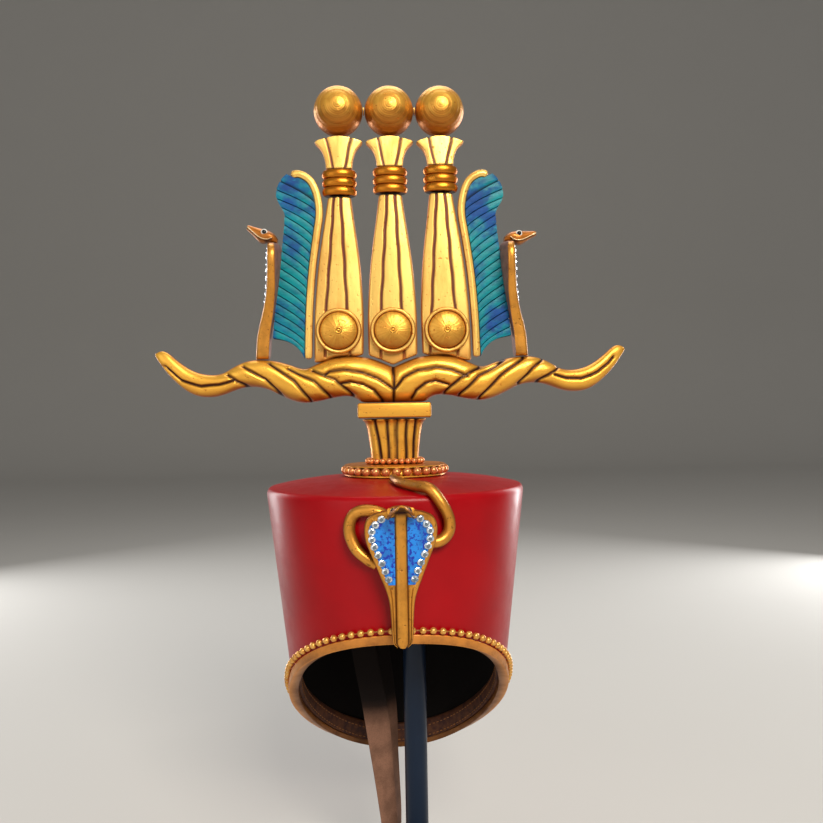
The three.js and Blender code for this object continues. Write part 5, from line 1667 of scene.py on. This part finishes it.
    def jaw(self, out):
        """Share of the open arch in the front head's section, its half width, crown and lips."""
        half, high, lips = [along(FRONT_HEAD_ROWS, out, column) for column in (1, 2, 3)]
        return ease((out - 0.36) / 0.06), half, high, lips

    def crown(self, x, out, base):
        """Height of the front head's upper side."""
        opened, half, high, lips = self.jaw(out)
        curve = 1 - math.sqrt(max(1 - min(abs(x) / half, 1) ** 2, 0))
        depth = high / 2 * (1 - opened) + (high - lips) * opened
        return base + high - depth * curve

    def arched(self, out, base):
        opened, half, high, lips = self.jaw(out)
        roof = high - min(JAW_THICK, 0.6 * (high - lips))
        ring = []
        for turn in turns(48):
            rise = math.cos(turn)
            under = rise < -0.01
            x = half * math.sin(turn) * (1 - 0.16 * opened * under)
            whole = high / 2 * (1 + rise)
            if under:
                bent = roof - (roof - lips) * (1 - abs(rise))
            else:
                bent = high - (high - lips) * (1 - rise)
            ring.append((x, -HEAD_LONG * out, base + whole + (bent - whole) * opened))
        return ring

    def mouth_line(self, base):
        line = []
        for step in range(25):
            out = 0.1 + 0.88 * step / 24
            height = mouth_height(out)
            line.append((head_width(out, height) + 0.05, -HEAD_LONG * out, base + height))
        path = line + [(-x, y, z) for x, y, z in reversed(line)]
        tip = HEAD_LONG * 0.9
        lips = tube("lips", path, [0.55 if -y > tip else 0.34 for x, y, z in path], 8)
        lips.data.materials.append(finish("lip"))
        return lips

    def eye(self, centre, lean, layers):
        """A white ring and a black pupil, turned outwards by a lean from upright."""
        parts = []
        aim = Matrix.Rotation(lean, 4, "Y")
        for reach, flat, proud, kind in layers:
            profile = [
                (reach * math.sin(math.radians(a)), reach * flat * math.cos(math.radians(a)))
                for a in (4, 20, 38, 56, 74, 90, 110, 140, 176)
            ]
            ball = turned("eye", profile, 24)
            moved(ball, Matrix.Translation(Vector(centre) * MM) @ aim @ Matrix.Translation((0, 0, proud * MM)))
            ball.data.materials.append(finish(kind))
            parts.append(ball)
        return parts

    def inlay(self, side, rib):
        rings = []
        for step in range(41):
            share = 0.455 + 0.495 * step / 40
            half = HOOD_HALF * along(HOOD_ROWS, share, 1)
            near = RIDGE_HALF + 0.15
            turn = clamp((share - 0.86) / 0.092)
            far = max((half - 3.2) * (1 - turn**3) ** 0.5, near + 0.3)
            low = hood_face(share, rib) - 0.2
            ring = []
            for part in (0, 0.33, 0.66, 1):
                ring.append((side * (near + (far - near) * part), -(low + 0.75), share * HOOD_TALL))
            for part in (1, 0.66, 0.33, 0):
                ring.append((side * (near + (far - near) * part), -low, share * HOOD_TALL))
            rings.append(ring)
        return skin("field", rings)

    def stones(self, side, rib):
        radius = in_mm(sizes().stone) / 2
        cut = ((0.94, -0.3), (1.0, 0.15), (1.0, 0.35), (0.8, 0.95), (0.52, 1.3))
        rings = []
        for level, (share, height) in enumerate(cut):
            shift = math.pi / 10 if level == 3 else 0
            rings.append([
                (radius * share * math.cos(turn + shift), radius * share * math.sin(turn + shift), height)
                for turn in turns(10)
            ])
        model = skin("stone", rings, smooth=5)
        places = []
        for across, up in STONE_ROWS:
            spot = Vector((side * across * HOOD_HALF, -hood_face(up, rib) - STONE_SEAT, up * HOOD_TALL)) * MM
            lean = Matrix.Rotation(0.25 * math.sin(across * 31 + up * 57), 4, "X")
            turn = Matrix.Rotation(math.pi / 2, 4, "X") @ Matrix.Rotation(up * 9, 4, "Z")
            places.append(Matrix.Translation(spot) @ lean.lerp(Matrix.Identity(4), 0.6) @ turn)
        stones = scattered("stones", model, places)
        smoothed(stones, 5)
        # Painted reflection: each facet gets a random darkness, and the two flat ends of each stone the darkest.
        facets = np.arange(len(stones.data.polygons))
        wave = np.sin(facets * 78.233) * 43758.5453
        shade = (wave - np.floor(wave)) * 0.85
        count = len(facets) // len(STONE_ROWS)
        shade[facets % count >= count - 2] = 0.9
        layer = stones.data.attributes.new("painted_facet_reflection", "FLOAT", "FACE")
        layer.data.foreach_set("value", shade.astype(np.float32))
        return stones


def tail_point(row):
    across, drop, inward, lifted, thick = row
    radius = in_mm(sizes().tail) / 2
    lift = GAP + radius * thick
    across *= TAIL_SPAN
    if inward > 0:
        y = -TOP_RADIUS * (1 - inward)
        return across, y, TOP + dome_rise(math.hypot(across, y)) + lift + radius * lifted, thick
    drop *= TAIL_SPAN
    angle = math.asin(across / (cap_half(drop)[0] + lift))
    return (*cap_point(angle, drop, -lift), thick)


class HEADDRESS_OT_tail(bpy.types.Operator):
    """Loop the front cobra's tail over the cap"""

    bl_idname = "headdress.tail"
    bl_label = "Tail"
    bl_options = {"REGISTER", "UNDO"}

    def execute(self, context):
        points = [tail_point(row) for row in TAIL_PATH]
        path = [through(points, step / 150) for step in range(151)]
        radius = in_mm(sizes().tail) / 2
        radii = []
        for step, spot in enumerate(path):
            end = 0.55 + 0.45 * ease((150 - step) / 6)
            radii.append(radius * spot[3] * end)
        tail = tube("tail", [spot[:3] for spot in path], radii, 24)
        painted(tail, "groove", [0.0] * len(tail.data.vertices))
        handed(tail, "cobra", ["cobra_tail"], finish("bronze"))
        return {"FINISHED"}


class HEADDRESS_OT_straps(bpy.types.Operator):
    """Hang the two flat straps inside the cap"""

    bl_idname = "headdress.straps"
    bl_label = "Straps"
    bl_options = {"REGISTER", "UNDO"}

    def execute(self, context):
        thick = in_mm(sizes().strap)
        for name, rows in TIES:
            reach = TOP_RADIUS * math.hypot(rows[0][1], rows[0][2]) + (TIE_WIDE + thick) / 2
            top = dome_rise(reach) - WALL - 1.2
            rings, middles, widths = [], [], []
            for step in range(57):
                down = step / 56
                across, back, turn, wide = [along(rows, down, column) for column in range(1, 5)]
                broad = Vector((math.cos(turn), math.sin(turn), 0))
                through_it = Vector((-math.sin(turn), math.cos(turn), 0))
                height = TOP + top - (TIE_DROP + top) * down
                centre = Vector((across * TOP_RADIUS, back * TOP_RADIUS, height))
                section = plate_section(wide * TIE_WIDE / 2, thick, 0.5, 0.05, 8)
                rings.append([centre + broad * x + through_it * y for x, y in section])
                middles.append(centre)
                widths.append(wide * TIE_WIDE)
            strap = skin("strap_" + name, rings, smooth=60)
            heights = coordinates(strap)[:, 2]
            # Painted shade: darker towards the top, inside the cap.
            painted(strap, "groove", np.clip((heights - STRAP_SHADE_FROM) / STRAP_SHADE_OVER, 0, 1))
            handed(strap, "ties", ["tie_" + name], finish("strap"))
            wide = sum(widths) / len(widths)
        return {"FINISHED"}


def lamp(name, place, size, power, tint=(1, 1, 1), tall=None):
    data = bpy.data.lights.new(name, "AREA")
    data.energy, data.size, data.color = power, size, tint
    if tall:
        data.shape, data.size_y = "RECTANGLE", tall
    obj = bpy.data.objects.new(name, data)
    obj.location = place
    obj.rotation_euler = (Vector((0, 0, 0.4)) - Vector(place)).to_track_quat("-Z", "Y").to_euler()
    bpy.context.scene.collection.objects.link(obj)


class HEADDRESS_OT_stage(bpy.types.Operator):
    """Lay the pale floor, hang the lights and set the camera"""

    bl_idname = "headdress.stage"
    bl_label = "Stage"
    bl_options = {"REGISTER", "UNDO"}

    def execute(self, context):
        deselect()
        wide = sizes().floor
        bpy.ops.mesh.primitive_plane_add(size=wide, location=(0, 0, -0.0005))
        floor = bpy.context.object
        bpy.ops.object.mode_set(mode="EDIT")
        mesh = bmesh.from_edit_mesh(floor.data)
        for edge in mesh.edges:
            edge.select = all(vert.co.y > 0 for vert in edge.verts)
        mesh.select_flush_mode()
        for turn in range(1, 9):
            angle = math.radians(90 * turn / 8)
            step = 1.2 * 2 * math.sin(math.radians(90 / 16))
            lean = angle - math.radians(90 / 16)
            way = (0, step * math.cos(lean), step * math.sin(lean))
            bpy.ops.mesh.extrude_region_move(TRANSFORM_OT_translate={"value": way})
        bpy.ops.mesh.extrude_region_move(TRANSFORM_OT_translate={"value": (0, 0, wide * 0.4)})
        bpy.ops.object.mode_set(mode="OBJECT")
        bpy.ops.object.transform_apply(location=True)
        floor.name = floor.data.name = "floor"
        smoothed(floor, 60)
        floor.data.materials.append(finish("floor"))

        lamp("key", (0.5, -1.7, 1.5), 0.8, 40, (1, 0.93, 0.82))
        lamp("fill", (-1.3, -1.5, 0.7), 1.3, 6)
        lamp("left_edge", (-1.3, 1.25, 0.45), 0.3, 19, tall=1.5)
        lamp("right_edge", (1.3, 1.25, 0.45), 0.3, 19, tall=1.5)
        lamp("above", (0, 0.6, 1.8), 1.1, 11)

        world = bpy.data.worlds.new("studio")
        context.scene.world = world
        world.use_nodes = True
        background = world.node_tree.nodes["Background"]
        background.inputs["Color"].default_value = (0.83, 0.81, 0.78, 1)
        background.inputs["Strength"].default_value = 0.27

        camera = bpy.data.objects.new("camera", bpy.data.cameras.new("camera"))
        context.scene.collection.objects.link(camera)
        camera.data.lens, camera.data.sensor_width = 36.83, 36
        forward = Vector((0.0488, 0.9988, 0)).normalized()
        right, up = Vector((forward.y, -forward.x, 0)), Vector((0, 0, 1))
        roll = math.radians(1)
        tilted_right = right * math.cos(roll) - up * math.sin(roll)
        tilted_up = up * math.cos(roll) + right * math.sin(roll)
        turn = Matrix((tilted_right, tilted_up, -forward)).transposed().to_4x4()
        camera.matrix_world = Matrix.Translation(Vector((-18.4, -654.9, 382.8)) * MM) @ turn
        camera.data.clip_start, camera.data.clip_end = 0.02, 50
        context.scene.camera = camera
        context.scene.view_settings.view_transform = "Standard"
        return {"FINISHED"}


OPERATORS = (
    HEADDRESS_OT_stage,
    HEADDRESS_OT_stand,
    HEADDRESS_OT_cap,
    HEADDRESS_OT_rim,
    HEADDRESS_OT_plaque,
    HEADDRESS_OT_stem,
    HEADDRESS_OT_horns,
    HEADDRESS_OT_columns,
    HEADDRESS_OT_feathers,
    HEADDRESS_OT_cobras,
    HEADDRESS_OT_tail,
    HEADDRESS_OT_straps,
)


class HEADDRESS_PT_panel(bpy.types.Panel):
    """Lists the headdress's sizes, colours and pieces"""

    bl_label = "Headdress"
    bl_idname = "HEADDRESS_PT_panel"
    bl_space_type = "VIEW_3D"
    bl_region_type = "UI"
    bl_category = "Headdress"

    def draw(self, context):
        for title, group in (("Sizes", context.scene.headdress_sizes), ("Colours", context.scene.headdress_colours)):
            self.layout.label(text=title)
            for key in group.bl_rna.properties.keys():
                if key not in ("rna_type", "name"):
                    self.layout.prop(group, key)
        self.layout.label(text="Pieces")
        for operator in OPERATORS:
            self.layout.operator(operator.bl_idname)


CLASSES = (HeaddressSizes, HeaddressColours, *OPERATORS, HEADDRESS_PT_panel)


def register():
    for made in CLASSES:
        bpy.utils.register_class(made)
    bpy.types.Scene.headdress_sizes = bpy.props.PointerProperty(type=HeaddressSizes)
    bpy.types.Scene.headdress_colours = bpy.props.PointerProperty(type=HeaddressColours)


def unregister():
    del bpy.types.Scene.headdress_colours
    del bpy.types.Scene.headdress_sizes
    for made in reversed(CLASSES):
        bpy.utils.unregister_class(made)


def main():
    register()
    for operator in OPERATORS:
        group, name = operator.bl_idname.split(".")
        getattr(getattr(bpy.ops, group), name)()


if __name__ == "__main__":
    main()
